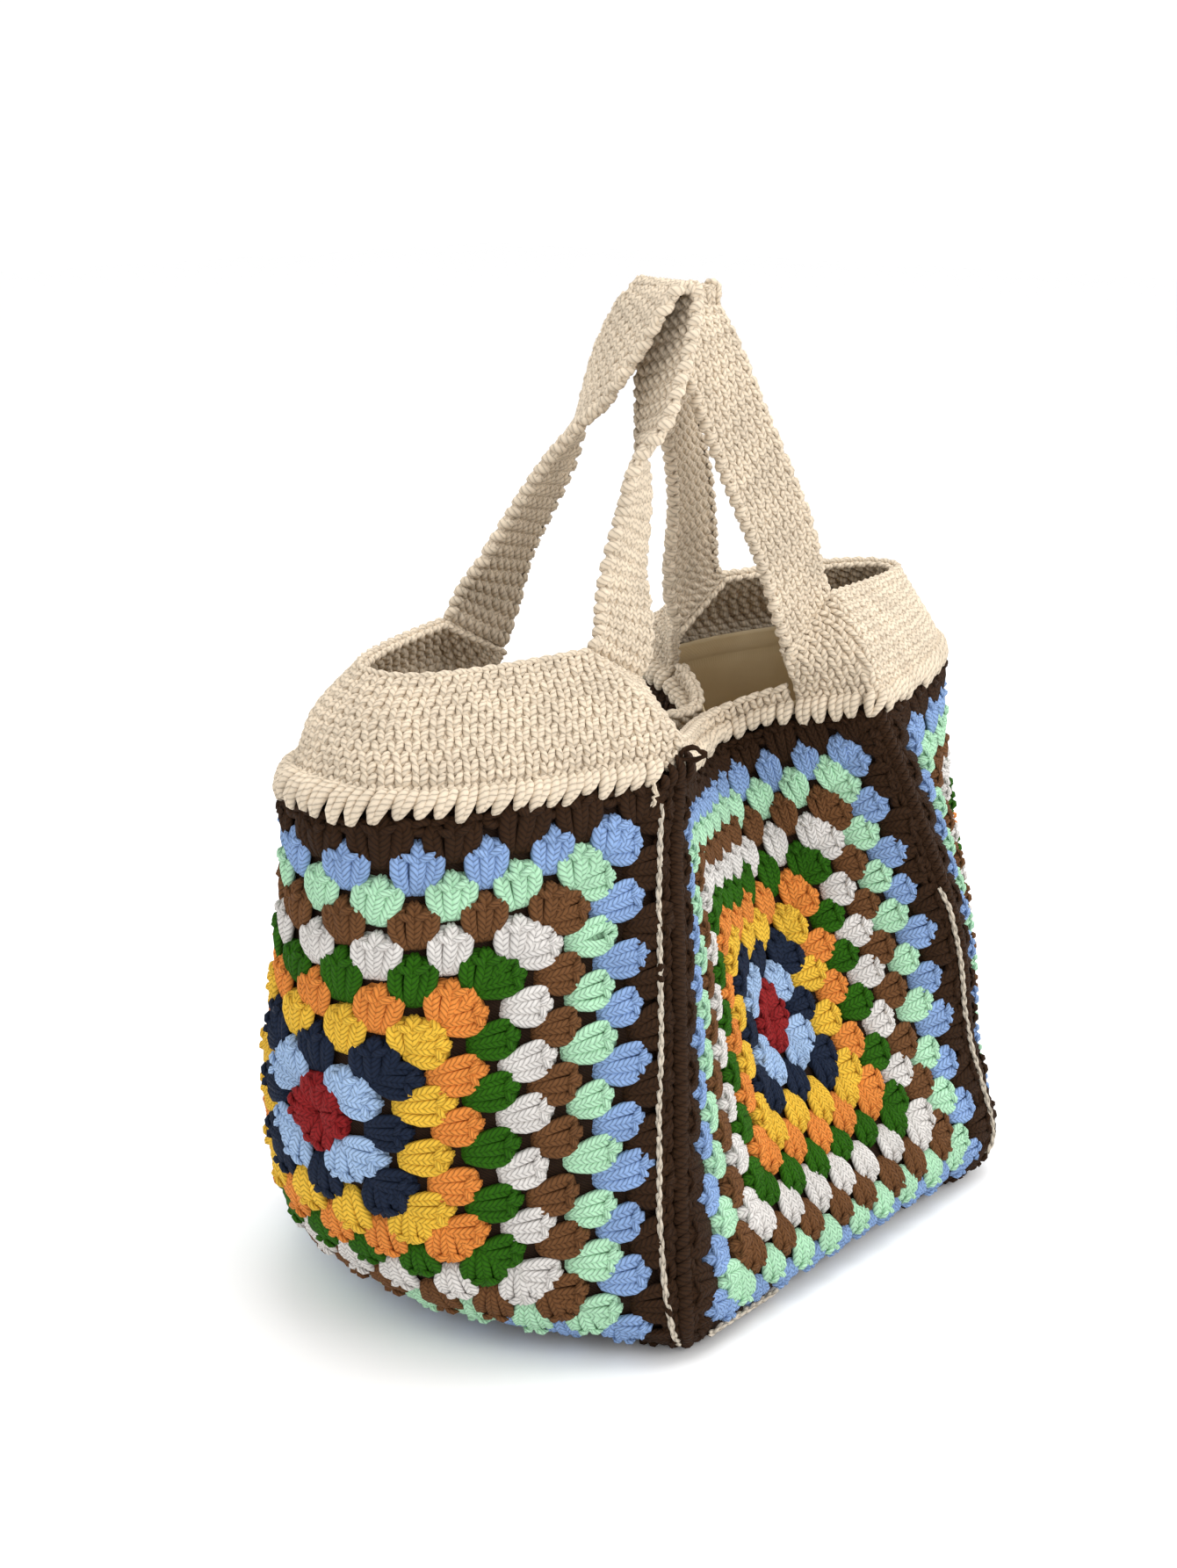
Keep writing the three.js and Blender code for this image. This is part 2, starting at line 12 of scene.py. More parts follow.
import bpy
import numpy as np
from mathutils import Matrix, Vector


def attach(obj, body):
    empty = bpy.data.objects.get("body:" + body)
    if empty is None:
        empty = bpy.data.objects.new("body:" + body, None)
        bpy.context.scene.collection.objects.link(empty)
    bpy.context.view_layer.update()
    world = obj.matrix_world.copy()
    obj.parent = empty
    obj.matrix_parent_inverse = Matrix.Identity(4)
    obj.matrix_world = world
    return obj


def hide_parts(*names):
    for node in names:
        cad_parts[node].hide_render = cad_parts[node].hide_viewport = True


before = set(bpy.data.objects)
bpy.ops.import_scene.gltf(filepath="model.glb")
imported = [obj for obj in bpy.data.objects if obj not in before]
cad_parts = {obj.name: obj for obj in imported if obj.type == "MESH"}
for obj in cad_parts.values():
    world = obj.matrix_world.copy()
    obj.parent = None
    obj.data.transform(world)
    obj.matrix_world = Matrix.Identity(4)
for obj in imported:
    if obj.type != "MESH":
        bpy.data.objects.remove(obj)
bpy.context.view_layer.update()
print("nodes:", len(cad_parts))

# %% [markdown]
# ## Where the photographer stood
#
# The picture looks down at one corner of the bag. The camera is placed by its compass angle, its dip and
# its distance from a point inside the bag, because those three numbers are easy to reason about. The lens is
# a normal one: much of the strength of the perspective comes from the distance of a little over a metre.

# %% Camera
LOOK_AT = Vector((-0.055, 0.012, 0.1975))
COMPASS = math.radians(42)
DIP = math.radians(17)
DISTANCE = 1.11
LENS_MM = 50.42
SENSOR_MM = 36
toward_camera = Vector((math.cos(DIP) * math.sin(COMPASS), -math.cos(DIP) * math.cos(COMPASS), math.sin(DIP)))
camera_data = bpy.data.cameras.new("camera")
camera_data.lens = LENS_MM
camera_data.sensor_width = SENSOR_MM
camera = bpy.data.objects.new("camera", camera_data)
camera.location = LOOK_AT + DISTANCE * toward_camera
camera.rotation_euler = (math.pi / 2 - DIP, 0, COMPASS)
bpy.context.scene.collection.objects.link(camera)
bpy.context.scene.camera = camera
print("camera at", tuple(round(v, 3) for v in camera.location))


# %% [markdown]
# ## Studio light and a pale floor
#
# Yarn is a soft, hairy thing, and soft light from large panels shows its plies without hard shadows. The
# strongest panel hangs overhead. One stands on the right, one behind the bag, and a weak one on the left. The
# white surroundings fill the rest. A plain pale floor catches the contact shadow that makes the bag stand on
# something.

# %% Light panels, surroundings and floor
def light_panel(name, place, width, watts, aim):
    data = bpy.data.lights.new(name, "AREA")
    data.size = width
    data.energy = watts
    panel = bpy.data.objects.new(name, data)
    panel.location = place
    panel.rotation_euler = (Vector(aim) - Vector(place)).to_track_quat("-Z", "Y").to_euler()
    bpy.context.scene.collection.objects.link(panel)


BAG_MIDDLE = (0, 0, 0.2)
ROOM_LIGHT = 1.03
light_panel("left_panel", (-0.75, -1.25, 1.15), 0.8, 3, BAG_MIDDLE)
light_panel("right_panel", (1.5, -0.1, 1.0), 1.0, 9, BAG_MIDDLE)
light_panel("overhead_panel", (0.1, 0.2, 1.7), 1.2, 12, BAG_MIDDLE)
light_panel("back_panel", (0.5, 1.5, 1.1), 1.2, 8, BAG_MIDDLE)
world = bpy.data.worlds.new("white_room")
world.use_nodes = True
background = world.node_tree.nodes["Background"]
background.inputs["Color"].default_value = (1, 1, 1, 1)
background.inputs["Strength"].default_value = ROOM_LIGHT
bpy.context.scene.world = world
bpy.context.scene.view_settings.view_transform = "Standard"

FLOOR_REACH = 6.0
floor_corners = [(x * FLOOR_REACH, y * FLOOR_REACH, 0) for x, y in ((-1, -1), (1, -1), (1, 1), (-1, 1))]
floor_mesh = bpy.data.meshes.new("floor")
floor_mesh.from_pydata(floor_corners, [], [(0, 1, 2, 3)])
floor = bpy.data.objects.new("floor", floor_mesh)
bpy.context.scene.collection.objects.link(floor)
pale = bpy.data.materials.new("pale_floor")
pale.use_nodes = True
paint = pale.node_tree.nodes["Principled BSDF"]
paint.inputs["Base Color"].default_value = (0.97, 0.97, 0.97, 1)
paint.inputs["Roughness"].default_value = 0.9
floor.data.materials.append(pale)

# %% [markdown]
# ## The sizes that the bag was cut and hooked to
#
# Everything is in metres here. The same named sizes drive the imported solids, so strands that are laid with
# them land where the solids are. Each row of the first table is one level of the slumped bag, from the bottom
# seam to the top of the squares: where its corner is, how far its two ends bulge, and where its folded sides
# fold. The other tables do the same for the collars and the straps.

# %% Sizes and tables
MM = 0.001
PANEL_SIDE = 270 * MM
CLOTH = 4.5 * MM
RIDGE = 4.5 * MM
COLLAR_RISE = 46 * MM
EDGING_RISE = 13 * MM
STRAP_RISE = 152 * MM
STRAP_WIDTH = 40 * MM
CORNER_WRAP = {"front": 12 * MM, "back": 38 * MM}
FOOT_GAP = 0.3 * MM
ROUNDS = 11
HALF_ROUNDS = 11.5

# at, corner x y z, front nose, nose z, back nose, fold x y z, roundness, crease, sway
# All lengths are shares of PANEL_SIDE.
LEVELS = np.array([
    [0.00, 0.43, 0.42, 0.00, 0.48, 0.00, 0.47, 0.39, 0.00, 0.00, 2.2, 0.39, 0],
    [0.12, 0.45, 0.45, 0.07, 0.67, 0.06, 0.62, 0.46, 0.01, 0.06, 2.4, 0.43, 0],
    [0.30, 0.41, 0.42, 0.26, 0.78, 0.21, 0.71, 0.37, 0.03, 0.20, 2.6, 0.33, 0],
    [0.50, 0.39, 0.40, 0.46, 0.81, 0.41, 0.72, 0.25, 0.06, 0.38, 2.6, 0.13, 0],
    [0.70, 0.345, 0.355, 0.64, 0.80, 0.61, 0.72, 0.17, 0.09, 0.56, 2.6, 0.07, 0],
    [0.88, 0.30, 0.31, 0.80, 0.79, 0.79, 0.73, 0.09, 0.11, 0.73, 2.7, 0.07, 0.007],
    [1.00, 0.275, 0.27, 0.91, 0.79, 0.92, 0.73, 0.035, 0.12, 0.825, 3.0, 0.08, 0.015],
])
# at, corner x y rise, nose, its rise, how far along to a strap's foot, its rise, lean, roundness
# Rises are shares of COLLAR_RISE, and the other lengths are shares of PANEL_SIDE.
COLLAR_LEVELS = {
    "front": [(0.60, 0.232, 0.285, 0.63, 0.72, 0.62, 0.75, 0.42, -0.030, 2.6),
              (1.00, 0.166, 0.315, 1.00, 0.625, 0.96, 1.00, 0.56, -0.048, 2.6)],
    "back": [(0.60, 0.215, 0.285, 0.63, 0.69, 0.62, 0.75, 0.38, 0.010, 2.6),
             (1.00, 0.125, 0.315, 1.00, 0.66, 0.94, 1.00, 0.52, 0.020, 2.6)],
}
FEET = {"front": (0.160, 0.178), "back": (0.125, 0.178)}
EDGING_FOLD = 0.022
EDGING_LEAN = 0.965
# rise as a share of STRAP_RISE, x and y as shares of PANEL_SIDE, compass angle of the strap's width
FRONT_STRAP = [
    (0.20, 0.094, -0.198, 106), (0.36, 0.086, -0.166, 113), (0.51, 0.088, -0.153, 124),
    (0.62, 0.095, -0.128, 146), (0.75, 0.088, -0.101, 158), (0.92, 0.071, -0.062, 166),
    (0.99, 0.061, -0.053, 165), (1.01, 0.056, -0.069, 161), (0.97, 0.050, -0.085, 157),
    (0.92, 0.034, -0.099, 160), (0.79, -0.012, -0.112, 153), (0.68, -0.058, -0.110, 141),
    (0.47, -0.113, -0.134, 110), (0.20, -0.176, -0.190, 99),
]
BACK_STRAP = [
    (0.20, 0.137, 0.182, 265), (0.36, 0.122, 0.142, 263), (0.61, 0.088, 0.088, 264),
    (0.86, 0.047, 0.048, 269), (0.95, 0.003, 0.052, 273), (0.86, -0.028, 0.080, 272),
    (0.63, -0.066, 0.126, 288), (0.32, -0.082, 0.185, 282),
]


# %% [markdown]
# ## The curved cloth
#
# A crocheted wall is a curved sheet, and every stitch has to sit on it. It could be one subdivision surface,
# but the stitches would then need a search for their place. Here each wall is a fine grid of points instead,
# so "a third of the way across and half way up" is found at once by blending four neighbours.

# %% Smooth curves and even spacing
def smooth(stations, values, at):
    """Values between stations on a smooth curve. values has one row a station; at is a list of places."""
    values = np.asarray(values, float).reshape(len(stations), -1)
    at = np.atleast_1d(at)
    k = np.clip(np.searchsorted(stations, at) - 1, 0, len(stations) - 2)
    low = np.maximum(np.arange(len(stations)) - 1, 0)
    high = np.minimum(np.arange(len(stations)) + 1, len(stations) - 1)
    stations = np.asarray(stations, float)
    slope = (values[high] - values[low]) / (stations[high] - stations[low])[:, None]
    span = (stations[k + 1] - stations[k])[:, None]
    p = ((at - stations[k]) / span[:, 0])[:, None]
    start = (2 * p ** 3 - 3 * p ** 2 + 1) * values[k] + (p ** 3 - 2 * p ** 2 + p) * span * slope[k]
    return start + (3 * p ** 2 - 2 * p ** 3) * values[k + 1] + (p ** 3 - p ** 2) * span * slope[k + 1]


def evenly(points, count, skip_start=0.0, skip_end=0.0):
    """count points spaced evenly along a polyline, leaving out a length at its start and its end."""
    reach = np.concatenate([[0], np.cumsum(np.linalg.norm(np.diff(points, axis=0), axis=1))])
    wanted = np.linspace(skip_start, reach[-1] - skip_end, count)
    return np.stack([np.interp(wanted, reach, points[:, k]) for k in range(3)], -1)


# %% One level of the bag, its round ends and its folded sides
CURVE = np.linspace(-1, 1, 161)


def level_at(at):
    row = smooth(LEVELS[:, 0], LEVELS[:, 1:], at)[0]
    metres = row * PANEL_SIDE
    return {
        "corner": np.array([metres[0], metres[1], metres[2] + RIDGE]),
        "nose_z": metres[4] + RIDGE,
        "nose_y": {"front": metres[3], "back": metres[5]},
        "fold": np.array([metres[6], metres[7], metres[8] + RIDGE]),
        "round": row[9],
        "crease": metres[10],
        "sway": metres[11],
    }


def end_curve(level, side):
    out = np.abs(CURVE) ** level["round"]
    facing = 1 if side == "front" else -1
    y = level["nose_y"][side] * (1 - out) + level["corner"][1] * out
    z = level["nose_z"] * (1 - out) + level["corner"][2] * out
    return np.stack([facing * level["corner"][0] * CURVE, -facing * y, z], -1)


SWAY_PEAK = 2.6


def folded_curve(level, side):
    """A folded side dips toward the front and rises toward the back."""
    corner, fold, crease = level["corner"], level["fold"], level["crease"]
    out = (np.hypot(CURVE * corner[1], crease) - crease) / (np.hypot(corner[1], crease) - crease)
    facing = 1 if side == "right" else -1
    x = facing * (fold[0] * (1 - out) + corner[0] * out)
    y = facing * corner[1] * CURVE + fold[1] * (1 - out)
    dip = level["sway"] * SWAY_PEAK * facing * CURVE * (1 - CURVE ** 2)
    return np.stack([x, y, fold[2] * (1 - out) + corner[2] * out + dip], -1)


def curve_of(level, side):
    return end_curve(level, side) if side in ("front", "back") else folded_curve(level, side)


# %% The five squares as grids of points
GRID_STEPS = 121
BOTTOM_LIFT = 0.72 * CLOTH


def square_grid(side):
    return np.array([evenly(curve_of(level_at(t), side), GRID_STEPS) for t in np.linspace(0, 1, GRID_STEPS)])


def bottom_grid():
    level = level_at(0)
    front = end_curve(level, "front")
    back = end_curve(level, "back")[::-1]
    rows = []
    for t in np.linspace(0, 1, GRID_STEPS):
        row = evenly(back * (1 - t) + front * t, GRID_STEPS)
        middle = 1 - abs(2 * t - 1) ** 2
        row[:, 0] *= 1 - middle * (level["corner"][0] - level["fold"][0]) / level["corner"][0]
        row[:, 2] = BOTTOM_LIFT
        rows.append(row)
    return np.array(rows)


def outward(grid):
    across = np.gradient(grid, axis=1)
    up = np.gradient(grid, axis=0)
    facing = np.cross(across, up)
    return facing / np.linalg.norm(facing, axis=-1, keepdims=True)


def blend_grid(grid, across, up):
    """Points of a grid at shares across and up, from 0 to 1."""
    j = np.clip(across, 0, 1) * (grid.shape[1] - 1)
    i = np.clip(up, 0, 1) * (grid.shape[0] - 1)
    j0 = np.minimum(j.astype(int), grid.shape[1] - 2)
    i0 = np.minimum(i.astype(int), grid.shape[0] - 2)
    fj = (j - j0)[..., None]
    fi = (i - i0)[..., None]
    low = grid[i0, j0] * (1 - fj) + grid[i0, j0 + 1] * fj
    high = grid[i0 + 1, j0] * (1 - fj) + grid[i0 + 1, j0 + 1] * fj
    return low * (1 - fi) + high * fi


SIDES = ("front", "right", "back", "left")
squares = {side: square_grid(side) for side in SIDES}
squares["bottom"] = bottom_grid()
facings = {name: outward(grid) for name, grid in squares.items()}
for name, grid in squares.items():
    middle_row = np.linalg.norm(np.diff(grid[GRID_STEPS // 2], axis=0), axis=1).sum()
    print("square", name, "is", round(middle_row * 1000), "mm across its middle")


# %% [markdown]
# ## Yarn strands
#
# A stitch is a short length of fat yarn. It could be a curve object with a bevel, but there are thousands of
# them, and one mesh a wall is far lighter. Each strand is a ring of points swept along its spine. Its width
# is laid flat on the cloth by the cloth's own outward direction, and it runs to nothing at both ends, where
# it dives between its neighbours. The texture coordinates run round and along the strand, in centimetres,
# so that the twist of the yarn can follow it.

# %% Sweep many strands at once
CENTIMETRE = 0.01
TINY = 1e-9
BALL = 40


def strands(spines, ups, wide, high, sides, hand, seed):
    """Tubes of yarn along their spines, as one part: points, faces and texture coordinates.

    spines and ups are items x rings x 3. wide and high are half sizes, one a ring, or one an item and a ring.
    hand is 1 or -1, the way that the plies twist. Each tube starts at its own place on a BALL of yarn.
    """
    items, rings, _ = spines.shape
    along = np.gradient(spines, axis=1)
    along /= np.maximum(np.linalg.norm(along, axis=-1, keepdims=True), TINY)
    across = np.cross(along, ups)
    across /= np.maximum(np.linalg.norm(across, axis=-1, keepdims=True), TINY)
    over = np.cross(across, along)
    turn = np.arange(sides) * 2 * np.pi / sides
    wide = np.broadcast_to(wide, (items, rings))[..., None, None]
    high = np.broadcast_to(high, (items, rings))[..., None, None]
    ring = (across[:, :, None] * np.cos(turn)[None, None, :, None] * wide
            + over[:, :, None] * np.sin(turn)[None, None, :, None] * high)
    points = (spines[:, :, None] + ring).reshape(-1, 3)
    reach = np.concatenate([np.zeros((items, 1)),
                            np.cumsum(np.linalg.norm(np.diff(spines, axis=1), axis=-1), axis=1)], axis=1)
    start = np.random.default_rng(seed).uniform(0, BALL, (items, 1))
    length = reach / CENTIMETRE + start
    i, j, k = np.meshgrid(np.arange(items), np.arange(rings - 1), np.arange(sides), indexing="ij")
    corner = (i * rings + j) * sides
    after = (k + 1) % sides
    above = corner + sides
    faces = np.stack([corner + k, corner + after, above + after, above + k], -1).reshape(-1, 4)
    u0 = hand * k / sides
    u1 = hand * (k + 1) / sides
    low = length[i, j]
    top = length[i, j + 1]
    round_and_along = np.stack([np.stack([u0, low], -1), np.stack([u1, low], -1),
                                np.stack([u1, top], -1), np.stack([u0, top], -1)], -2).reshape(-1, 4, 2)
    return points, faces, round_and_along


def piece(name, parts, looks):
    """One mesh object from parts (points, faces, coordinates, look number)."""
    points = np.concatenate([part[0] for part in parts])
    starts = np.cumsum([0] + [len(part[0]) for part in parts[:-1]])
    faces = np.concatenate([part[1] + start for part, start in zip(parts, starts)])
    coordinates = np.concatenate([part[2] for part in parts])
    numbers = np.concatenate([np.full(len(part[1]), part[3]) for part in parts])
    mesh = bpy.data.meshes.new(name)
    mesh.vertices.add(len(points))
    mesh.vertices.foreach_set("co", points.astype(np.float32).ravel())
    mesh.loops.add(len(faces) * 4)
    mesh.loops.foreach_set("vertex_index", faces.astype(np.int32).ravel())
    mesh.polygons.add(len(faces))
    mesh.polygons.foreach_set("loop_start", (np.arange(len(faces)) * 4).astype(np.int32))
    mesh.polygons.foreach_set("material_index", numbers.astype(np.int32))
    mesh.polygons.foreach_set("use_smooth", np.ones(len(faces), bool))
    layer = mesh.uv_layers.new(name="yarn")
    layer.data.foreach_set("uv", coordinates.astype(np.float32).ravel())
    mesh.update(calc_edges=True)
    made = bpy.data.objects.new(name, mesh)
    bpy.context.scene.collection.objects.link(made)
    for look in looks:
        made.data.materials.append(look)
    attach(made, "root")
    print(name, "has", 2 * len(faces), "triangles")
    return made


def dress(name, parts, look, slot, *nodes):
    """A piece of one finish that stands for the nodes named, which are hidden. slot is not used."""
    made = piece(name, [(*part, 0) for part in parts], [look])
    if nodes:
        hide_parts(*nodes)
    return made


# %% [markdown]
# ## Yarn finishes
#
# The yarn is a soft acrylic of several plies. Close up, each strand shows slanting plies with a fine fibre
# on them, dark in the shade between them and pale where the light falls on top. The slant comes from the
# strand's own coordinates: going round and along at the same time draws a helix. It is used twice, as relief
# and as a change of colour that paints shade between the plies and a highlight on their tops, because the
# shadow between two plies is what the eye reads as yarn. A soft sheen stands for the loose fibres.

# %% Material helper
def yarn_look(name, colour, shade, light, plies=5, slant=0.85, sheen=0.18, relief=0.6):
    """colour is the yarn in plain light, shade the shade painted between its plies, light the highlight
    painted on top.
    """
    look = bpy.data.materials.new(name)
    look.use_nodes = True
    nodes, links = look.node_tree.nodes, look.node_tree.links
    shader = nodes["Principled BSDF"]
    shader.inputs["Roughness"].default_value = 0.78
    shader.inputs["Specular IOR Level"].default_value = 0.14
    shader.inputs["Sheen Weight"].default_value = sheen
    shader.inputs["Sheen Roughness"].default_value = 0.45
    shader.inputs["Sheen Tint"].default_value = (*light, 1)
    place = nodes.new("ShaderNodeUVMap")
    place.uv_map = "yarn"
    apart = nodes.new("ShaderNodeSeparateXYZ")
    links.new(place.outputs["UV"], apart.inputs["Vector"])

    def arithmetic(operation, first, second=None):
        node = nodes.new("ShaderNodeMath")
        node.operation = operation
        for socket, value in zip(node.inputs, (first, second)):
            if isinstance(value, (int, float)):
                socket.default_value = value
            elif value is not None:
                links.new(value, socket)
        return node.outputs[0]

    def ridges(across, number):
        """Rounded ridges, that many for each turn: 0 between two of them and 1 on top."""
        return arithmetic("ABSOLUTE", arithmetic("SINE", arithmetic("MULTIPLY", across, math.pi * number)))

    wobble = nodes.new("ShaderNodeTexNoise")
    wobble.inputs["Scale"].default_value = 2.2
    wobble.inputs["Detail"].default_value = 2
    links.new(place.outputs["UV"], wobble.inputs["Vector"])
    turns = arithmetic("ADD", arithmetic("MULTIPLY", apart.outputs["X"], plies),
                       arithmetic("MULTIPLY", apart.outputs["Y"], plies * slant))
    turns = arithmetic("ADD", turns, arithmetic("MULTIPLY", wobble.outputs["Fac"], 0.9))
    ply = ridges(turns, 1)
    fibre = ridges(turns, 5)
    height = arithmetic("ADD", arithmetic("MULTIPLY", ply, 0.8), arithmetic("MULTIPLY", fibre, 0.2))
    # The ramp paints shade into the grooves between the plies and a highlight onto their tops.
    ramp = nodes.new("ShaderNodeValToRGB")
    ramp.color_ramp.elements[0].position = 0.12
    ramp.color_ramp.elements[0].color = (*shade, 1)
    ramp.color_ramp.elements[1].position = 0.98
    ramp.color_ramp.elements[1].color = (*light, 1)
    middle = ramp.color_ramp.elements.new(0.5)
    middle.color = (*colour, 1)
    links.new(height, ramp.inputs["Fac"])
    patches = nodes.new("ShaderNodeTexNoise")
    patches.inputs["Scale"].default_value = 60
    patches.inputs["Detail"].default_value = 3
    spot = nodes.new("ShaderNodeTexCoord")
    links.new(spot.outputs["Object"], patches.inputs["Vector"])
    hue = nodes.new("ShaderNodeHueSaturation")
    links.new(ramp.outputs["Color"], hue.inputs["Color"])
    patchy = arithmetic("ADD", arithmetic("MULTIPLY", patches.outputs["Fac"], 0.5), 0.75)
    links.new(patchy, hue.inputs["Value"])
    links.new(hue.outputs["Color"], shader.inputs["Base Color"])
    bump = nodes.new("ShaderNodeBump")
    bump.inputs["Strength"].default_value = relief
    bump.inputs["Distance"].default_value = 0.0009
    links.new(height, bump.inputs["Height"])
    links.new(bump.outputs["Normal"], shader.inputs["Normal"])
    return look


def from_screen(red, green, blue):
    """A colour as seen on a screen, 0 to 255, turned into the linear numbers that a shader takes."""
    return tuple((v / 255 / 12.92) if v / 255 < 0.04045 else ((v / 255 + 0.055) / 1.055) ** 2.4
                 for v in (red, green, blue))


STUDIO = 0.74


def yarn_shades(name, red, green, blue, painted_shade_by=0.42, painted_highlight_by=1.26, **more):
    """The yarn's colour in the picture is taken down by the strength of the white room's light."""
    colour = tuple(v * STUDIO for v in from_screen(red, green, blue))
    # A darker copy of the colour is painted as shade between the plies, and a paler copy as a highlight on
    # their tops.
    shade = tuple(v * painted_shade_by for v in colour)
    light = tuple(min(v * painted_highlight_by, 0.95) for v in colour)
    return yarn_look(name, colour, shade, light, **more)


# %% The colours of the squares, from the centre out
ROUND_LOOKS = [
    yarn_shades("red_yarn", 146, 32, 34),
    yarn_shades("light_blue_yarn", 166, 194, 230),
    yarn_shades("navy_yarn", 26, 37, 58, sheen=0.06),
    yarn_shades("yellow_yarn", 240, 192, 64),
    yarn_shades("orange_yarn", 232, 142, 64),
    yarn_shades("green_yarn", 42, 96, 3, sheen=0.05),
    yarn_shades("white_yarn", 232, 227, 222, painted_shade_by=0.45, painted_highlight_by=1.2),
    yarn_shades("mid_brown_yarn", 112, 74, 43, sheen=0.08),
    yarn_shades("mint_yarn", 186, 234, 196, painted_shade_by=0.45, painted_highlight_by=1.2),
    yarn_shades("cornflower_yarn", 142, 172, 218),
    yarn_shades("dark_brown_yarn", 52, 31, 13, sheen=0.04),
]
# The sheet behind the clusters is painted near-black brown as the shade in the gaps between them.
SHADE_BACKING_LOOK = yarn_shades("painted_shade_backing", 42, 26, 14, sheen=0.0)
CHAIN_LOOK = yarn_shades("thin_chain_cord", 206, 194, 176, plies=2, slant=1.0)
CREAM_LOOK = yarn_shades("cream_yarn_face", 230, 213, 189, painted_shade_by=0.60, painted_highlight_by=1.18,
                         plies=3, slant=1.3, relief=0.45)
print("finishes:", len(bpy.data.materials))

# %% [markdown]
# ## The granny squares
#
# Each square is hooked from its centre out, in eleven rounds of one colour each. A round is made of clusters:
# three tall stitches worked into one gap, squeezed together at the foot and spread at the top. Round n has n
# clusters a side, and each sits between two of the round before, which gives the diamond pattern. A repeated
# picture could show it, but real clusters stand proud and throw shadows, so each one is modelled. A cluster
# is a soft core with three posts over it. Each post is a pair of strands whose yarns twist opposite ways, so
# that their plies meet in a row of small Vs, and short loops cross near the top. The bottom square lies on
# the floor, so its clusters are flatter and have no loops. The strands of the back, the left and the bottom
# have four sides, and those of the front and the right have five, which keeps the mesh small.

# %% Where the clusters go
ROW = 1 / HALF_ROUNDS
# These are shares of a round: how far a foot reaches back and a top reaches out, and how a corner splays.
CENTRE_FOOT = 0.05
SIDE_FOOT = 0.42
CORNER_FOOT = 0.28
TOP_REACH = 0.40
LAST_TOP_REACH = 0.36
CORNER_SPLAY = 0.14


def cluster_places():
    """For each cluster: round, foot and top in square coordinates from -1 to 1, quarter, place in its row."""
    places = []
    for quarter in range(4):
        cos, sin = ((1, 0), (0, 1), (-1, 0), (0, -1))[quarter]
        for n in range(1, ROUNDS + 1):
            for k in range(n):
                x = (2 * k - n + 1) * ROW
                corner = 0 if n == 1 else (k == n - 1) * 1 - (k == 0) * 1
                back = CORNER_FOOT if corner else SIDE_FOOT
                foot_y = CENTRE_FOOT * ROW if n == 1 else (n - 1 - back) * ROW
                top_y = (n + (TOP_REACH if n < ROUNDS else LAST_TOP_REACH)) * ROW
                top_x = x + corner * CORNER_SPLAY * ROW
                places.append((n, x * cos - foot_y * sin, x * sin + foot_y * cos,
                               top_x * cos - top_y * sin, top_x * sin + top_y * cos, quarter, k))
    return np.array(places)


PLACES = cluster_places()
print("clusters on a square:", len(PLACES))

# %% The posts and loops of one cluster
# Along a cluster: share of its length, half its spread, rise over the cloth and half width of a strand, in mm
FAN = np.array([
    [0.00, 2.4, -0.8, 0.5],
    [0.10, 4.6, 1.3, 1.7],
    [0.28, 6.2, 2.7, 1.9],
    [0.50, 7.8, 3.5, 2.1],
    [0.72, 8.1, 3.2, 2.1],
    [0.90, 7.0, 2.1, 1.9],
    [1.00, 5.0, -0.5, 0.5],
])
HALF_SIDE = PANEL_SIDE / 2
POSTS = (-0.71, 0.0, 0.71)
PAIR = 0.14
OUTER_DROP = 0.35
MIDDLE_TALLER = 1.05
OUTER_SHORTER = 0.955
LAST_WIDER = 1.18
LOOP_PLACES = (-0.48, 0.48)
LOOP_WIDTH = 5.4
CORE_SIDES = 4
FINE_SIDES = {"front": 5, "right": 5, "back": 4, "left": 4, "bottom": 4}
FOOT_JITTER = 0.006
TOP_JITTER = 0.010
# One mint cluster has its middle stitch pulled open, most at PULLED_AT, a share of its length.
PULLED = {"square": "front", "round": 9, "quarter": 3, "place": 1}
PULLED_APART = 0.34
PULLED_AT = 0.62
PULLED_REACH = 0.2


def stretch_at(name, spots, across):
    """How far the cloth is stretched in one direction at some spots, against a flat square."""
    reach = 0.01
    beyond = (spots + across * reach + 1) / 2
    before = (spots - across * reach + 1) / 2
    gap = (blend_grid(squares[name], beyond[:, 0], beyond[:, 1])
           - blend_grid(squares[name], before[:, 0], before[:, 1]))
    return np.linalg.norm(gap, axis=1) / (2 * reach * HALF_SIDE)


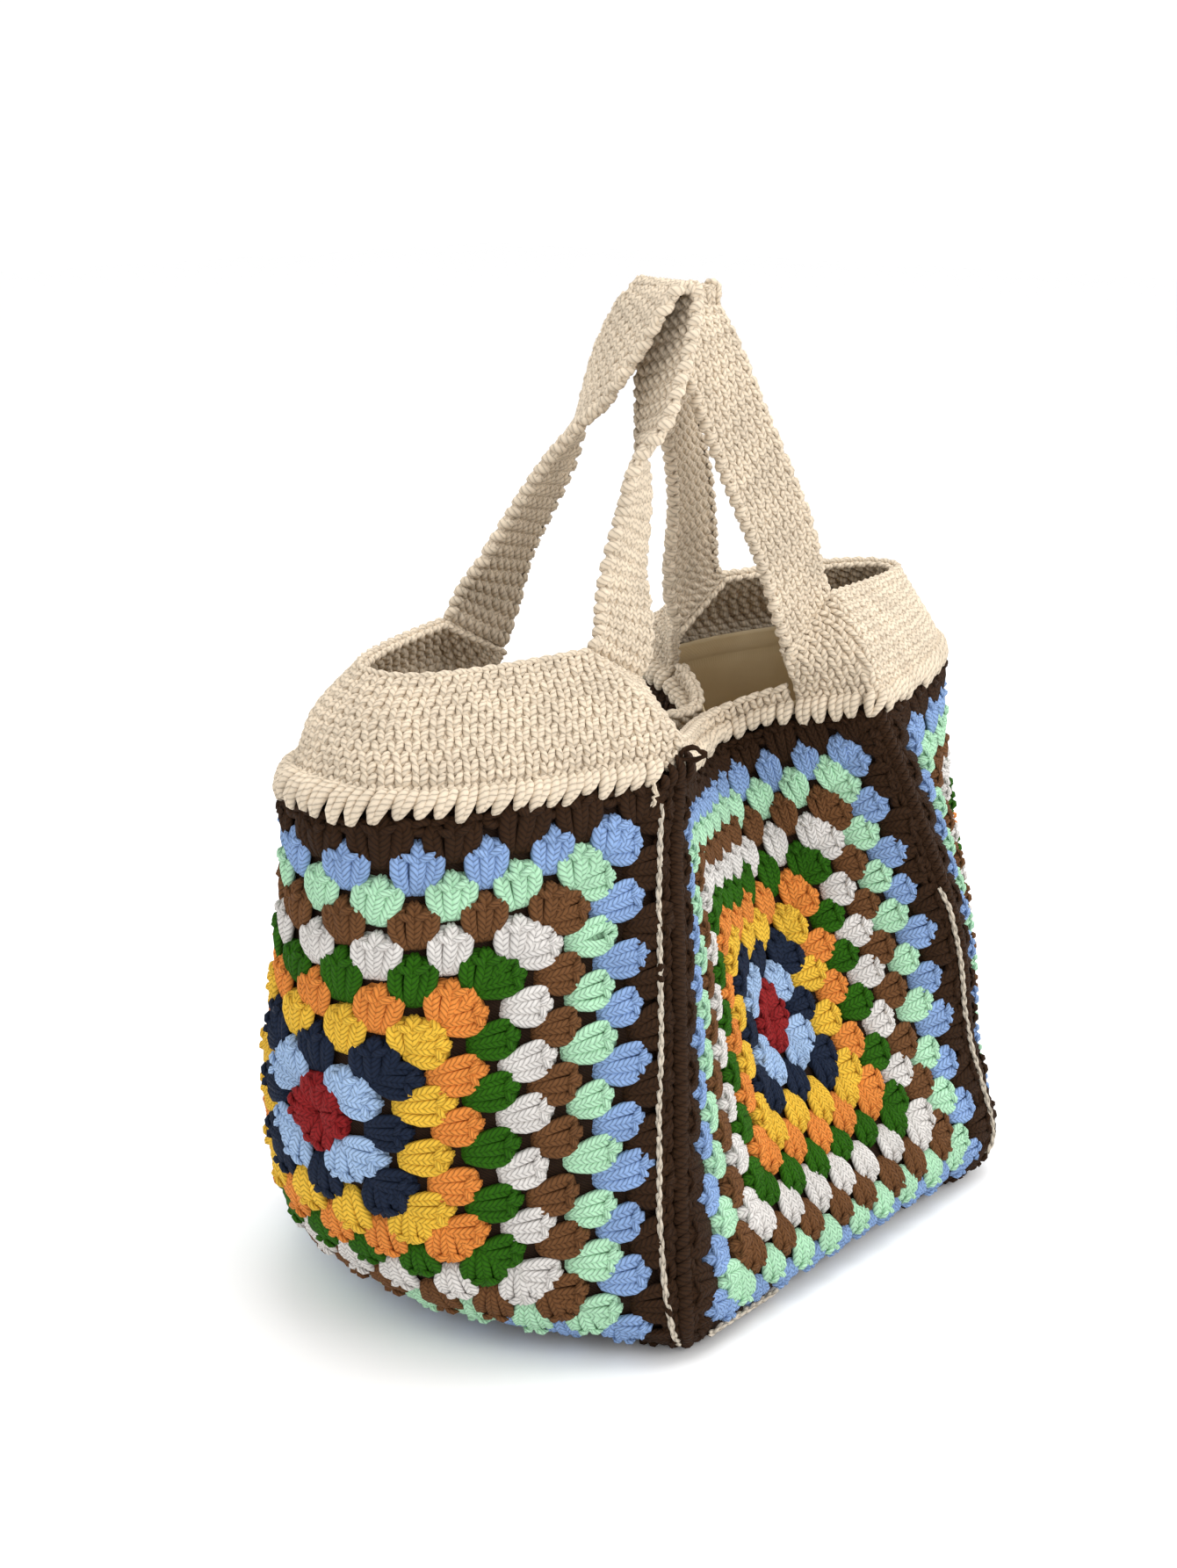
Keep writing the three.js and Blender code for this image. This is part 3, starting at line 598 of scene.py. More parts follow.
def cluster_strands(name, in_round, height_share, seed):
    """The core, the three pairs of strands and the top loops of every cluster of one round on one square."""
    sides = FINE_SIDES[name]
    rng = np.random.default_rng(seed)
    place = PLACES[PLACES[:, 0] == in_round]
    count = len(place)
    foot = place[:, 1:3] + rng.normal(0, FOOT_JITTER, (count, 2))
    top = place[:, 3:5] + rng.normal(0, TOP_JITTER, (count, 2))
    way = (top - foot) / np.linalg.norm(top - foot, axis=1, keepdims=True)
    shorter = np.clip(1 - 1 / stretch_at(name, (foot + top) / 2, way), -0.1, 0.2)[:, None] / 5
    foot, top = foot + (top - foot) * shorter, top - (top - foot) * shorter
    axis = top - foot
    across = np.stack([axis[:, 1], -axis[:, 0]], -1)
    across /= np.linalg.norm(across, axis=1, keepdims=True)
    wider = rng.uniform(0.94, 1.05, count) * (LAST_WIDER if in_round == ROUNDS else 1)
    spread = (FAN[:, 1] * MM / HALF_SIDE)[None] * wider[:, None]
    stretch = stretch_at(name, (foot + top) / 2, across)[:, None]
    lift = rng.uniform(0.92, 1.1, (count, 1)) * height_share * MM
    here = name == PULLED["square"] and in_round == PULLED["round"]
    pulled = here & (place[:, 5] == PULLED["quarter"]) & (place[:, 6] == PULLED["place"])
    sunk = np.where(pulled, 0.25, 1.0)[:, None]
    parts = []
    spine = foot[:, None] + axis[:, None] * FAN[:, 0][None, :, None]
    parts.append(on_square(name, spine, FAN[:, 2] * lift * 0.25, spread * HALF_SIDE * 0.86 * stretch,
                           np.maximum(FAN[:, 2], 0.3) * lift * 0.72 * sunk, CORE_SIDES, 1, seed + 1))
    for post in POSTS:
        for half in (-1, 1):
            swell = np.exp(-((FAN[:, 0] - PULLED_AT) / PULLED_REACH) ** 2)
            apart = PAIR + PULLED_APART * ((pulled & (post == 0))[:, None] * swell)
            offset = (post + half * apart) * spread
            share = FAN[:, 0] * (MIDDLE_TALLER if post == 0 else OUTER_SHORTER)
            curl = rng.normal(0, 0.02, (count, 1)) * np.sin(FAN[:, 0] * np.pi)[None]
            spine = (foot[:, None] + axis[:, None] * share[None, :, None]
                     + across[:, None] * (offset + curl * spread)[..., None])
            height = FAN[:, 2] * lift * (1 - OUTER_DROP * post ** 2)
            half_wide = FAN[:, 3] * MM * stretch * wider[:, None]
            half_high = FAN[:, 3] * MM * height_share * np.ones((count, 1))
            number = seed + int(9 * post + half) + 20
            parts.append(on_square(name, spine, height, half_wide, half_high, sides, half, number))
    loops = () if name == "bottom" else LOOP_PLACES
    for loop in loops:
        step = np.linspace(-1, 1, 4)
        x = (loop + 0.5 * step)[None] * LOOP_WIDTH * MM / HALF_SIDE * np.ones((count, 1))
        y = 0.80 + 0.07 * np.sign(loop) * step - 0.05 * abs(loop)
        spine = foot[:, None] + axis[:, None] * y[None, :, None] + across[:, None] * x[..., None]
        height = (4.2 + 1.1 * np.cos(step * np.pi / 2)) * lift
        bulk = np.array([0.4, 1.5, 1.5, 0.4]) * MM
        number = seed + int(loop * 9) + 50
        parts.append(on_square(name, spine, height, bulk * stretch, bulk * height_share, sides, 1, number))
    return parts


def on_square(name, spine, height, wide, high, sides, hand, seed):
    """Strands whose spines are in square coordinates, raised over the cloth by height."""
    grid, facing = squares[name], facings[name]
    share = (spine + 1) / 2
    up = blend_grid(facing, share[..., 0], share[..., 1])
    points = blend_grid(grid, share[..., 0], share[..., 1]) + up * height[..., None]
    return strands(points, up, wide, high, sides, hand, seed)


# %% [markdown]
# ## A dark sheet behind the clusters and the edge of a square
#
# Between the clusters of the real bag the eye meets more yarn, dark in its own shadow. A thin sheet behind
# them, painted a near-black brown, stands in for that shade. The last brown round ends in a chain along all
# four edges, which is laid as a braid: two slanting strands for each stitch.

# %% A backing sheet that closes the gaps
def closed_sheet(grid, thickness, offset=0.0):
    """A closed sheet of even thickness around a grid of points, as one part."""
    facing = outward(grid)
    rows, columns = grid.shape[:2]
    layers = [grid + facing * (offset + way * thickness / 2) for way in (1, -1)]
    points = np.concatenate([layer.reshape(-1, 3) for layer in layers])
    i, j = np.meshgrid(np.arange(rows - 1), np.arange(columns - 1), indexing="ij")
    a = (i * columns + j).ravel()
    front = np.stack([a, a + 1, a + columns + 1, a + columns], -1)
    back = front[:, ::-1] + rows * columns
    sideways = np.arange(columns - 1)
    upright = np.arange(rows - 1)
    rim = np.concatenate([sideways, (upright + 1) * columns - 1,
                          rows * columns - 1 - sideways, (rows - 1 - upright) * columns])
    after = np.roll(rim, -1)
    edge = np.stack([after, rim, rim + rows * columns, after + rows * columns], -1)
    faces = np.concatenate([front, back, edge])
    step = np.linalg.norm(grid[rows // 2, 1] - grid[rows // 2, 0]) / CENTIMETRE
    climb = np.linalg.norm(grid[1, columns // 2] - grid[0, columns // 2]) / CENTIMETRE
    number = np.arange(rows * columns)
    spot = np.stack([(number % columns) * step, (number // columns) * climb], -1)
    coordinates = np.concatenate([spot, spot])[faces]
    return points, faces, coordinates


# %% Lines and braids beside an edge
PATH_STEPS = 121


def edge_path(name, edge, inset):
    """A line beside one edge of a square, with the way out of the cloth and the way toward the edge."""
    line = np.linspace(0.02, 0.98, PATH_STEPS)
    share = np.full(PATH_STEPS, inset / PANEL_SIDE)
    spots = {"bottom": (line, share), "top": (line[::-1], 1 - share),
             "left": (share, line[::-1]), "right": (1 - share, line)}[edge]
    path = blend_grid(squares[name], *spots)
    up = blend_grid(facings[name], *spots)
    return path, up, np.cross(np.gradient(path, axis=0), up)


def follow(path, at):
    """Points at shares of a path, for a list of places."""
    place = np.clip(at, 0, 1) * (len(path) - 1)
    k = np.minimum(place.astype(int), len(path) - 2)
    f = (place - k)[..., None]
    return path[k] * (1 - f) + path[k + 1] * f


def braid(path, up, side, pitch, spread, bulk, lift, seed):
    """A chain of pointed loops along a path: two slanting strands for each stitch."""
    side = side / np.linalg.norm(side, axis=1, keepdims=True)
    length = np.linalg.norm(np.diff(path, axis=0), axis=1).sum()
    count = max(int(round(length / pitch)), 1)
    rng = np.random.default_rng(seed)
    place = (np.arange(count) + 0.5 + rng.normal(0, 0.05, count)) / count
    step = np.array([-0.70, -0.38, 0.0, 0.38, 0.66])
    at = place[:, None] + step[None] / count
    out = follow(up, at)
    parts = []
    for way in (-1, 1):
        offset = way * spread * np.array([0.20, 0.85, 1.0, 0.62, 0.12])
        rise = lift + bulk * np.array([-0.5, 0.1, 0.35, 0.45, 0.1])
        spine = follow(path, at) + follow(side, at) * offset[None, :, None] + out * rise[None, :, None]
        half = bulk * np.array([0.35, 0.9, 1.0, 0.9, 0.3])
        parts.append(strands(spine, out, half, half * 0.9, 6, way, seed + 3 + way))
    return parts


# %% [markdown]
# ## One square from its parts
#
# The parts of a square could be separate objects, but one mesh with a finish for each round is quicker to
# draw and keeps the square in one piece.

# %% The five squares
EVERY_THIRD = slice(None, None, 3)
BACKING = 2.0 * MM
BACKING_SUNK = 1.0 * MM
EDGE_INSET = 6.5 * MM
EDGE_STITCH = 7.2 * MM
EDGE_STRAND = 2.3 * MM
BOTTOM_FLATTER = 0.55


def make_square(name, height_share=1.0):
    grid = squares[name][EVERY_THIRD, EVERY_THIRD]
    # The sheet behind the clusters takes the last look, the painted shade in the gaps.
    parts = [(*closed_sheet(grid, BACKING, -BACKING_SUNK), ROUNDS)]
    for edge in ("bottom", "top", "left", "right"):
        path, up, side = edge_path(name, edge, EDGE_INSET)
        band = braid(path, up, side, EDGE_STITCH, EDGE_STRAND, EDGE_STRAND, 1.0 * MM * height_share, 301)
        parts += [(*part, ROUNDS - 1) for part in band]
    for in_round in range(1, ROUNDS + 1):
        seed = 100 * in_round + 7 * len(name)
        parts += [(*part, in_round - 1) for part in cluster_strands(name, in_round, height_share, seed)]
    made = piece("square_" + name, parts, ROUND_LOOKS + [SHADE_BACKING_LOOK])
    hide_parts("panel_" + name)


for side in SIDES:
    make_square(side)
make_square("bottom", BOTTOM_FLATTER)


# %% [markdown]
# ## The raised seams
#
# The squares are joined from the outside with the same dark brown yarn, and each join stands up as a ridge of
# slanting stitches. A plain rod would look like piping, so the rod is kept thin and short loops of yarn are
# wrapped over it, one for each stitch of the seam. Both ends of a loop reach under the rod.

# %% Ridges of slanting loops
STITCH = 5.6 * MM
CROWDED = 1.25
ROD = 0.72
UNDER = 2.0
LEAN = 0.55


def ridge_strands(path, outside, seed):
    """A core and the loops over it. outside is the direction that the ridge faces, one row a point."""
    thick = np.full(len(path), RIDGE * ROD)
    core = strands(path[None], outside[None], thick, thick, 8, 1, seed)
    length = np.linalg.norm(np.diff(path, axis=0), axis=1).sum()
    count = int(length / STITCH * CROWDED)
    place = (np.arange(count) + 0.5) / count
    turn = np.linspace(-UNDER, UNDER, 7)
    lean = np.linspace(-LEAN, LEAN, 7)
    at = place[:, None] * (len(path) - 1) + lean[None] * STITCH / length * (len(path) - 1)
    at = np.clip(at, 0, len(path) - 1.001)
    k = at.astype(int)
    f = (at - k)[..., None]
    centre = path[k] * (1 - f) + path[k + 1] * f
    up = outside[k] * (1 - f) + outside[k + 1] * f
    up /= np.linalg.norm(up, axis=-1, keepdims=True)
    along = np.gradient(path, axis=0)
    along = along[k] / np.linalg.norm(along[k], axis=-1, keepdims=True)
    side = np.cross(along, up)
    ring = up * np.cos(turn)[None, :, None] + side * np.sin(turn)[None, :, None]
    spines = centre + ring * RIDGE * ROD
    half = np.array([0.8, 1.6, 2.0, 2.1, 2.0, 1.6, 0.8]) * MM
    loops = strands(spines, ring, half * 1.35, half * 0.7, 6, 1, seed + 1)
    return [core, loops]


BROWN_LOOK = ROUND_LOOKS[-1]
CORNERS = {"front_right": (1, -1), "back_right": (1, 1), "back_left": (-1, 1), "front_left": (-1, -1)}
for name, (x, y) in CORNERS.items():
    corners = np.array([level_at(t)["corner"] * (x, y, 1) for t in np.linspace(0, 0.985, 90)])
    outside = np.tile(np.array([x, y, 0.0]) / math.sqrt(2), (len(corners), 1))
    dress("seam_" + name, ridge_strands(corners, outside, 11), BROWN_LOOK, "square_yarn", "seam_" + name)
for side in SIDES:
    low = evenly(curve_of(level_at(0), side), 90, RIDGE, RIDGE)
    outside = low * (1, 1, 0)
    outside = outside / np.linalg.norm(outside, axis=1, keepdims=True) - (0, 0, 0.3)
    name = "seam_bottom_" + side
    dress(name, ridge_strands(low, outside, 17), BROWN_LOOK, "square_yarn", name)


# %% [markdown]
# ## Cream cloth in single crochet
#
# The collar, the edging and the straps are hooked in rows of short stitches. The outer face shows a small V
# for each stitch, and the inner face shows one fat slanting strand. One helper lays a whole cloth: it takes
# the grid of a wall, counts how many rows and stitches fit, and lays both faces on a thin core. The number of
# stitches follows the length of each row, so they keep their size where the wall narrows.

# %% Rows of stitches on a grid
CREAM_STITCH = 6.9 * MM
CREAM_ROW = 5.4 * MM
CREAM_CORE = 2.0 * MM


def cream_cloth(grid, seed, row_height=CREAM_ROW, stitch_width=CREAM_STITCH):
    """A core, an outer face of V stitches and an inner face of slanting strands."""
    facing = outward(grid)
    parts = [closed_sheet(grid[::2, ::2], CREAM_CORE)]
    rise = np.median(np.linalg.norm(np.diff(grid, axis=0), axis=-1).sum(axis=0))
    rows = max(int(round(rise / row_height)), 1)
    rng = np.random.default_rng(seed)
    across, up, width, height = [], [], [], []
    for row in range(rows):
        share = (row + 0.5) / rows
        line = blend_grid(grid, np.linspace(0, 1, 60), np.full(60, share))
        length = np.linalg.norm(np.diff(line, axis=0), axis=1).sum()
        count = max(int(round(length / stitch_width)), 1)
        shift = 0.25 * (row % 2)
        across += list((np.arange(count) + 0.5 + shift - 0.12) / count)
        up += [share] * count
        width += [1 / count] * count
        height += [1 / rows] * count
    across, up, width, height = (np.array(v) for v in (across, up, width, height))
    across = across + rng.normal(0, 0.03, len(across)) * width
    up = up + rng.normal(0, 0.03, len(up)) * height

    def lay(x, y, lift, half, sides, hand, face, number):
        share_x = np.clip(across[:, None] + x[None] * width[:, None], 0.004, 0.996)
        share_y = np.clip(up[:, None] + y[None] * height[:, None], -0.02, 1.02)
        out = blend_grid(facing, share_x, share_y) * face
        spines = blend_grid(grid, share_x, share_y) + out * lift[None, :, None]
        return strands(spines, out, half, half, sides, hand, number)

    step = np.array([0.0, 0.14, 0.5, 0.86, 1.0])
    bulk = min(stitch_width / CREAM_STITCH, 1) * MM
    half = np.array([0.5, 1.6, 1.95, 1.6, 0.5]) * bulk
    lift = np.array([0.3, 1.1, 1.5, 1.2, 0.2]) * MM
    for way in (-1, 1):
        x = way * (0.10 + 0.24 * step)
        y = -0.62 + 1.24 * step
        parts.append(lay(x, y, lift, half, 5, way, 1, seed + 2 + way))
    x = -0.52 + 1.04 * step
    y = -0.40 + 0.85 * step
    half = np.array([0.8, 2.2, 2.6, 2.2, 0.8]) * bulk
    lift = np.array([0.2, 0.8, 1.1, 0.8, 0.2]) * MM
    parts.append(lay(x, y, lift, half, 4, 1, -1, seed + 9))
    return parts


# %% [markdown]
# ## The walls that the cream cloth follows
#
# The edging stands straight on the rim of the squares and leans in a little. The collars share those first
# levels and go on to the feet of the straps. Both are found from levels, as the squares are, so their lower
# edges meet the squares all the way round.

# %% The collar's walls
RIM = level_at(1)
STEP_IN = EDGING_RISE / COLLAR_RISE
EDGING_TOP = dict(RIM)
EDGING_TOP["corner"] = RIM["corner"] * (EDGING_LEAN, 1, 1) + (0, 0, EDGING_RISE)
EDGING_TOP["fold"] = np.array([EDGING_FOLD * PANEL_SIDE, RIM["fold"][1], RIM["fold"][2] + EDGING_RISE])
EDGING_TOP["nose_z"] = RIM["nose_z"] + EDGING_RISE


def drawn_in(side):
    """How far an end bulges at the edging's top, on the way to the first tabled level of its collar."""
    first = COLLAR_LEVELS[side][0]
    share = STEP_IN / first[0]
    return RIM["nose_y"][side] * (1 - share) + first[4] * PANEL_SIDE * share


EDGING_TOP["nose_y"] = {side: drawn_in(side) for side in ("front", "back")}


def wrap_of(level, side):
    """Where the collar ends on a folded side."""
    curve = folded_curve(level, "right")
    from_corner = curve if side == "front" else curve[::-1]
    return evenly(from_corner, 2, CORNER_WRAP[side], 0)[0]


def level_row(level, side, at):
    """at, corner, nose y and z, the side edge, lean and roundness of a level."""
    y = -1 if side == "front" else 1
    corner = level["corner"] * (1, y, 1)
    return [at, *corner, y * level["nose_y"][side], level["nose_z"], *wrap_of(level, side), 0, level["round"]]


def collar_levels(side):
    """The two levels that the collar shares with the edging, and the two tabled ones above them."""
    y = -1 if side == "front" else 1
    levels = [level_row(RIM, side, 0), level_row(EDGING_TOP, side, STEP_IN)]
    base = RIM["corner"][2]
    foot = np.array([FEET[side][0] * PANEL_SIDE, y * FEET[side][1] * PANEL_SIDE, 0])
    for row in COLLAR_LEVELS[side]:
        at, corner_x, corner_y, rise, nose, nose_rise, along, foot_rise, lean, roundness = row
        wrap = wrap_of(EDGING_TOP, side) * (1 - along) + foot * along
        wrap[2] = base + foot_rise * COLLAR_RISE
        levels.append([at, corner_x * PANEL_SIDE, y * corner_y * PANEL_SIDE, base + rise * COLLAR_RISE,
                       y * nose * PANEL_SIDE, base + nose_rise * COLLAR_RISE, *wrap,
                       lean * PANEL_SIDE, roundness])
    return np.array(levels)


def row_curve(row):
    """One row of the collar from a level: round the end, and on round both corners."""
    corner, nose_y, nose_z, wrap, lean, roundness = row[1:4], row[4], row[5], row[6:9], row[9], row[10]
    p = np.linspace(0, 1, 81)
    out = p ** roundness
    half = np.stack([corner[0] * p, nose_y * (1 - out) + corner[1] * out,
                     nose_z * (1 - out) + corner[2] * out], -1)
    half = np.concatenate([half, corner + (wrap - corner) * np.linspace(0, 1, 13)[1:, None]])
    return evenly(np.concatenate([half[:0:-1] * (-1, 1, 1), half]) + (lean, 0, 0), 161)


def collar_row(levels, at):
    return row_curve(np.concatenate([[at], smooth(levels[:, 0], levels[:, 1:], at)[0]]))


def collar_grid(side):
    levels = collar_levels(side)
    rows = np.array([collar_row(levels, t) for t in np.linspace(0.02, 1, 31)])
    return rows if side == "front" else rows[:, ::-1]


HEM = 9 * MM
HEM_STEP = 3 * MM
HEM_LEVELS = [level_at(1 - depth / PANEL_SIDE) for depth in np.arange(HEM, HEM_STEP / 2, -HEM_STEP)]


def collar_hem(side):
    """The cloth from a hem's depth below the rim to three steps above it."""
    levels = collar_levels(side)
    rows = [row_curve(np.array(level_row(level, side, 0))) for level in HEM_LEVELS]
    rows += [collar_row(levels, k * HEM_STEP / COLLAR_RISE) for k in range(4)]
    rows = np.array(rows)
    return rows if side == "front" else rows[:, ::-1]


# %% [markdown]
# ## Long stitches over the edge
#
# The first cream row is worked deep into the brown edge of the squares, every second stitch or so, and so it
# shows as a row of pointed cream spikes. They are what ties the collar to the squares. Each one is a pair of
# fat strands that rise from one point and part, laid on the cloth that runs on below the rim. The top edges
# end in a chain, which shows as a braid of slanting loops.

# %% Spikes along a hem
SPIKE_PITCH = 8.2 * MM


def spikes(grid, seed, shortest=0.34, reach=1.0):
    """Pointed pairs of strands from a hem's lower side to its upper side, over the middle reach of it."""
    facing = outward(grid)
    line = grid[grid.shape[0] // 2]
    count = int(np.linalg.norm(np.diff(line, axis=0), axis=1).sum() / SPIKE_PITCH)
    rng = np.random.default_rng(seed)
    place = (np.arange(count)[:, None] + 0.5 + rng.normal(0, 0.06, (count, 1))) / count
    place = place[np.abs(place[:, 0] - 0.5) < reach / 2]
    low = rng.uniform(shortest - 0.26, shortest, (len(place), 1))
    lean = rng.normal(0.5, 0.14, (len(place), 1))
    step = np.array([0.0, 0.14, 0.38, 0.62, 0.85, 1.0])
    rise = np.array([2.2, 4.4, 5.2, 4.9, 3.4, 1.2]) * MM
    parts = []
    for way in (-1, 1):
        x = place + (lean * (step - 0.6) + way * np.array([0.02, 0.08, 0.16, 0.22, 0.24, 0.22])) / count
        y = low + (0.92 - low) * step
        out = blend_grid(facing, x, y)
        spine = blend_grid(grid, x, y) + out * rise[:, None]
        half = np.array([0.5, 1.6, 2.3, 2.6, 2.3, 0.9]) * MM
        parts.append(strands(spine, out, half, half, 6, 1, seed + way + 2))
    return parts


TOP_STRAND = 1.9 * MM
TOP_LIFT = 0.2 * MM


def top_braid(grid, seed):
    """The chain along the top row of a cloth."""
    path = grid[-1]
    up = grid[-1] - grid[-3]
    up /= np.linalg.norm(up, axis=1, keepdims=True)
    return braid(path, up, outward(grid)[-1], CREAM_STITCH, TOP_STRAND, TOP_STRAND, TOP_LIFT, seed)


# %% The two collars
# The front collar has no spikes at its ends, where brown stitches climb over it.
for side, seed, reach in (("front", 31, 0.87), ("back", 47, 1.0)):
    grid = collar_grid(side)
    parts = cream_cloth(grid, seed) + spikes(collar_hem(side), seed + 3, reach=reach)
    parts += top_braid(grid, seed + 5)
    dress("cream_collar_" + side, parts, CREAM_LOOK, "cream_yarn", "collar_" + side)

# %% The low edging of the folded sides
JOIN = 0.9 * MM
TOP_SETBACK = 3 * MM
SHORTER_SPIKES = 0.5


def edging_row(level, side, further=0):
    ends = ("front", "back") if side == "right" else ("back", "front")
    return evenly(folded_curve(level, side), 81, *(CORNER_WRAP[end] + JOIN + further for end in ends))


for side in ("right", "left"):
    low = edging_row(RIM, side)
    high = edging_row(EDGING_TOP, side, TOP_SETBACK)
    grid = np.array([low * (1 - t) + high * t for t in np.linspace(0.03, 1, 13)])
    hem = [edging_row(level, side) for level in HEM_LEVELS]
    hem += [low + (high - low) * k * HEM_STEP / EDGING_RISE for k in range(4)]
    parts = cream_cloth(grid, 53) + spikes(np.array(hem), 57, SHORTER_SPIKES) + top_braid(grid, 59)
    dress("cream_edging_" + side, parts, CREAM_LOOK, "cream_yarn", "edging_" + side)


# %% [markdown]
# ## The straps
#
# Each strap is one band of the same cream crochet. It starts from the collar beside a corner, rises to the
# top of its loop, and comes down to the other corner, turning on the way so that its inner face shows. A
# band along a path could be a bevelled curve, but the twist has to follow the table, so the band is swept
# in code: a smooth path through the stations and a width direction that turns with it.

# %% Sweep the two bands
STRAP_ROW = 6.6 * MM
STRAP_STITCH = 5.9 * MM
STRAP_STEPS = 241
SWEEP_STEPS = 600


def knots_path(points, count):
    """A smooth path through points, with even knots by the root of the distance between them."""
    knots = np.concatenate([[0], np.cumsum(np.sqrt(np.linalg.norm(np.diff(points, axis=0), axis=1)))])
    ends = np.concatenate([[2 * points[0] - points[1]], points, [2 * points[-1] - points[-2]]])
    first = knots[1] - knots[0]
    last = knots[-1] - knots[-2]
    knots = np.concatenate([[-first], knots, [knots[-1] + last]])
    share = np.linspace(0, len(points) - 1, count)
    k = np.minimum(share.astype(int), len(points) - 2)
    t = knots[k + 1] + (share - k) * (knots[k + 2] - knots[k + 1])

    def mix(a, b, from_knot, to_knot):
        w = ((t - from_knot) / (to_knot - from_knot))[:, None]
        return a * (1 - w) + b * w

    t0, t1, t2, t3 = knots[k], knots[k + 1], knots[k + 2], knots[k + 3]
    p0, p1, p2, p3 = ends[k], ends[k + 1], ends[k + 2], ends[k + 3]
    a1, a2, a3 = mix(p0, p1, t0, t1), mix(p1, p2, t1, t2), mix(p2, p3, t2, t3)
    b1, b2 = mix(a1, a2, t0, t2), mix(a2, a3, t1, t3)
    return mix(b1, b2, t1, t2), share


def strap_feet(side):
    """The middle of each foot, the direction across it and the direction that it rises in."""
    top = collar_levels(side)[3]
    feet = []
    for mirror in (1, -1):
        inner = top[1:4] * (mirror, 1, 1) + (top[9], 0, 0)
        outer = top[6:9] * (mirror, 1, 1) + (top[9], 0, 0)
        wide = (outer - inner) / np.linalg.norm(outer - inner)
        rise = np.array([0, 0, 1]) - wide[2] * wide
        feet.append(((inner + outer) / 2, wide, rise / np.linalg.norm(rise)))
    return feet


def strap_grid(side, stations):
    feet = strap_feet(side)
    base = collar_levels(side)[3][3]
    low, high = FOOT_GAP + CLOTH / 2, 3 * CLOTH
    ends = []
    for centre, wide, rise in feet:
        compass = math.degrees(math.atan2(wide[1], wide[0])) % 360
        ends.append([(*(centre + rise * lift), compass) for lift in (low, high)])
    middle = [(x * PANEL_SIDE, y * PANEL_SIDE, base + rise * STRAP_RISE, compass)
              for rise, x, y, compass in stations]
    rows = np.array(ends[0] + middle + ends[1][::-1])
    path, share = knots_path(rows[:, :3], SWEEP_STEPS)
    turn = np.radians(smooth(np.arange(len(rows)), rows[:, 3], share)[:, 0])
    along = np.gradient(path, axis=0)
    along /= np.linalg.norm(along, axis=1, keepdims=True)
    wide = np.stack([np.cos(turn), np.sin(turn), np.zeros_like(turn)], -1)
    wide -= along * (wide * along).sum(axis=1, keepdims=True)
    wide /= np.linalg.norm(wide, axis=1, keepdims=True)
    reach = np.concatenate([[0], np.cumsum(np.linalg.norm(np.diff(path, axis=0), axis=1))])
    for start, foot in ((reach, feet[0]), (reach[-1] - reach, feet[1])):
        blend = np.clip(start / STRAP_WIDTH, 0, 1)[:, None]
        blend = blend ** 2 * (3 - 2 * blend)
        wide = foot[1] * (1 - blend) + wide * blend
        wide /= np.linalg.norm(wide, axis=1, keepdims=True)
    columns = [evenly_with(path, path + wide * STRAP_WIDTH / 2 * w) for w in np.linspace(-1, 1, 13)]
    return np.stack(columns, axis=1)


def evenly_with(path, column):
    """Points of a column at even steps along the path that it goes with."""
    reach = np.concatenate([[0], np.cumsum(np.linalg.norm(np.diff(path, axis=0), axis=1))])
    wanted = np.linspace(0, reach[-1], STRAP_STEPS)
    return np.stack([np.interp(wanted, reach, column[:, k]) for k in range(3)], -1)


def rolled_edges(grid, seed):
    """Each row of a strap turns back at its edge in a fat rounded bump."""
    facing = outward(grid)
    parts = []
    for column, inner in ((0, 1), (-1, -2)):
        path = grid[:, column]
        out = path - grid[:, inner]
        out /= np.linalg.norm(out, axis=1, keepdims=True)
        length = np.linalg.norm(np.diff(path, axis=0), axis=1).sum()
        count = int(length / STRAP_ROW)
        rng = np.random.default_rng(seed - column)
        turn = np.linspace(-2.1, 2.1, 7)
        middle = np.arange(count)[:, None] + 0.5 + rng.normal(0, 0.05, (count, 1))
        place = (middle + 0.22 * turn[None]) / count
        face, away = follow(facing[:, column], place), follow(out, place)
        ring = away * np.cos(turn)[None, :, None] + face * np.sin(turn)[None, :, None]
        spine = follow(path, place) - away * 2.3 * MM + ring * 2.2 * MM
        half = np.array([0.7, 1.8, 2.3, 2.5, 2.3, 1.8, 0.7]) * MM
        parts.append(strands(spine, ring, half, half * 0.75, 6, 1, seed + 4 - column))
    return parts


# The outer face of a strap is the one that faces away from the bag near its first foot.
NEAR_FOOT = (8, 6)
for side, stations in (("front", FRONT_STRAP), ("back", BACK_STRAP)):
    grid = strap_grid(side, stations)
    away = grid[NEAR_FOOT] * (1, 1, 0)
    if (outward(grid)[NEAR_FOOT] * away).sum() < 0:
        grid = grid[:, ::-1]
    parts = cream_cloth(grid, 61, STRAP_ROW, STRAP_STITCH) + rolled_edges(grid, 67)
    dress("cream_strap_" + side, parts, CREAM_LOOK, "cream_yarn", "strap_" + side)


# %% [markdown]
# ## Thin cream chains
#
# A thin cream chain runs beside parts of some seams. On the real bag it is one strand pulled through again
# and again, and from a little way off it looks like a loosely twisted cord. A curve with a bevel could give
# one smooth cord, but two thin strands wound round each other show the turns that make it a chain.

# %% Two strands twisted along a path
CHAIN_TURN = 13 * MM
CORD_STEP = 1.5 * MM
WANDER = 0.5 * MM


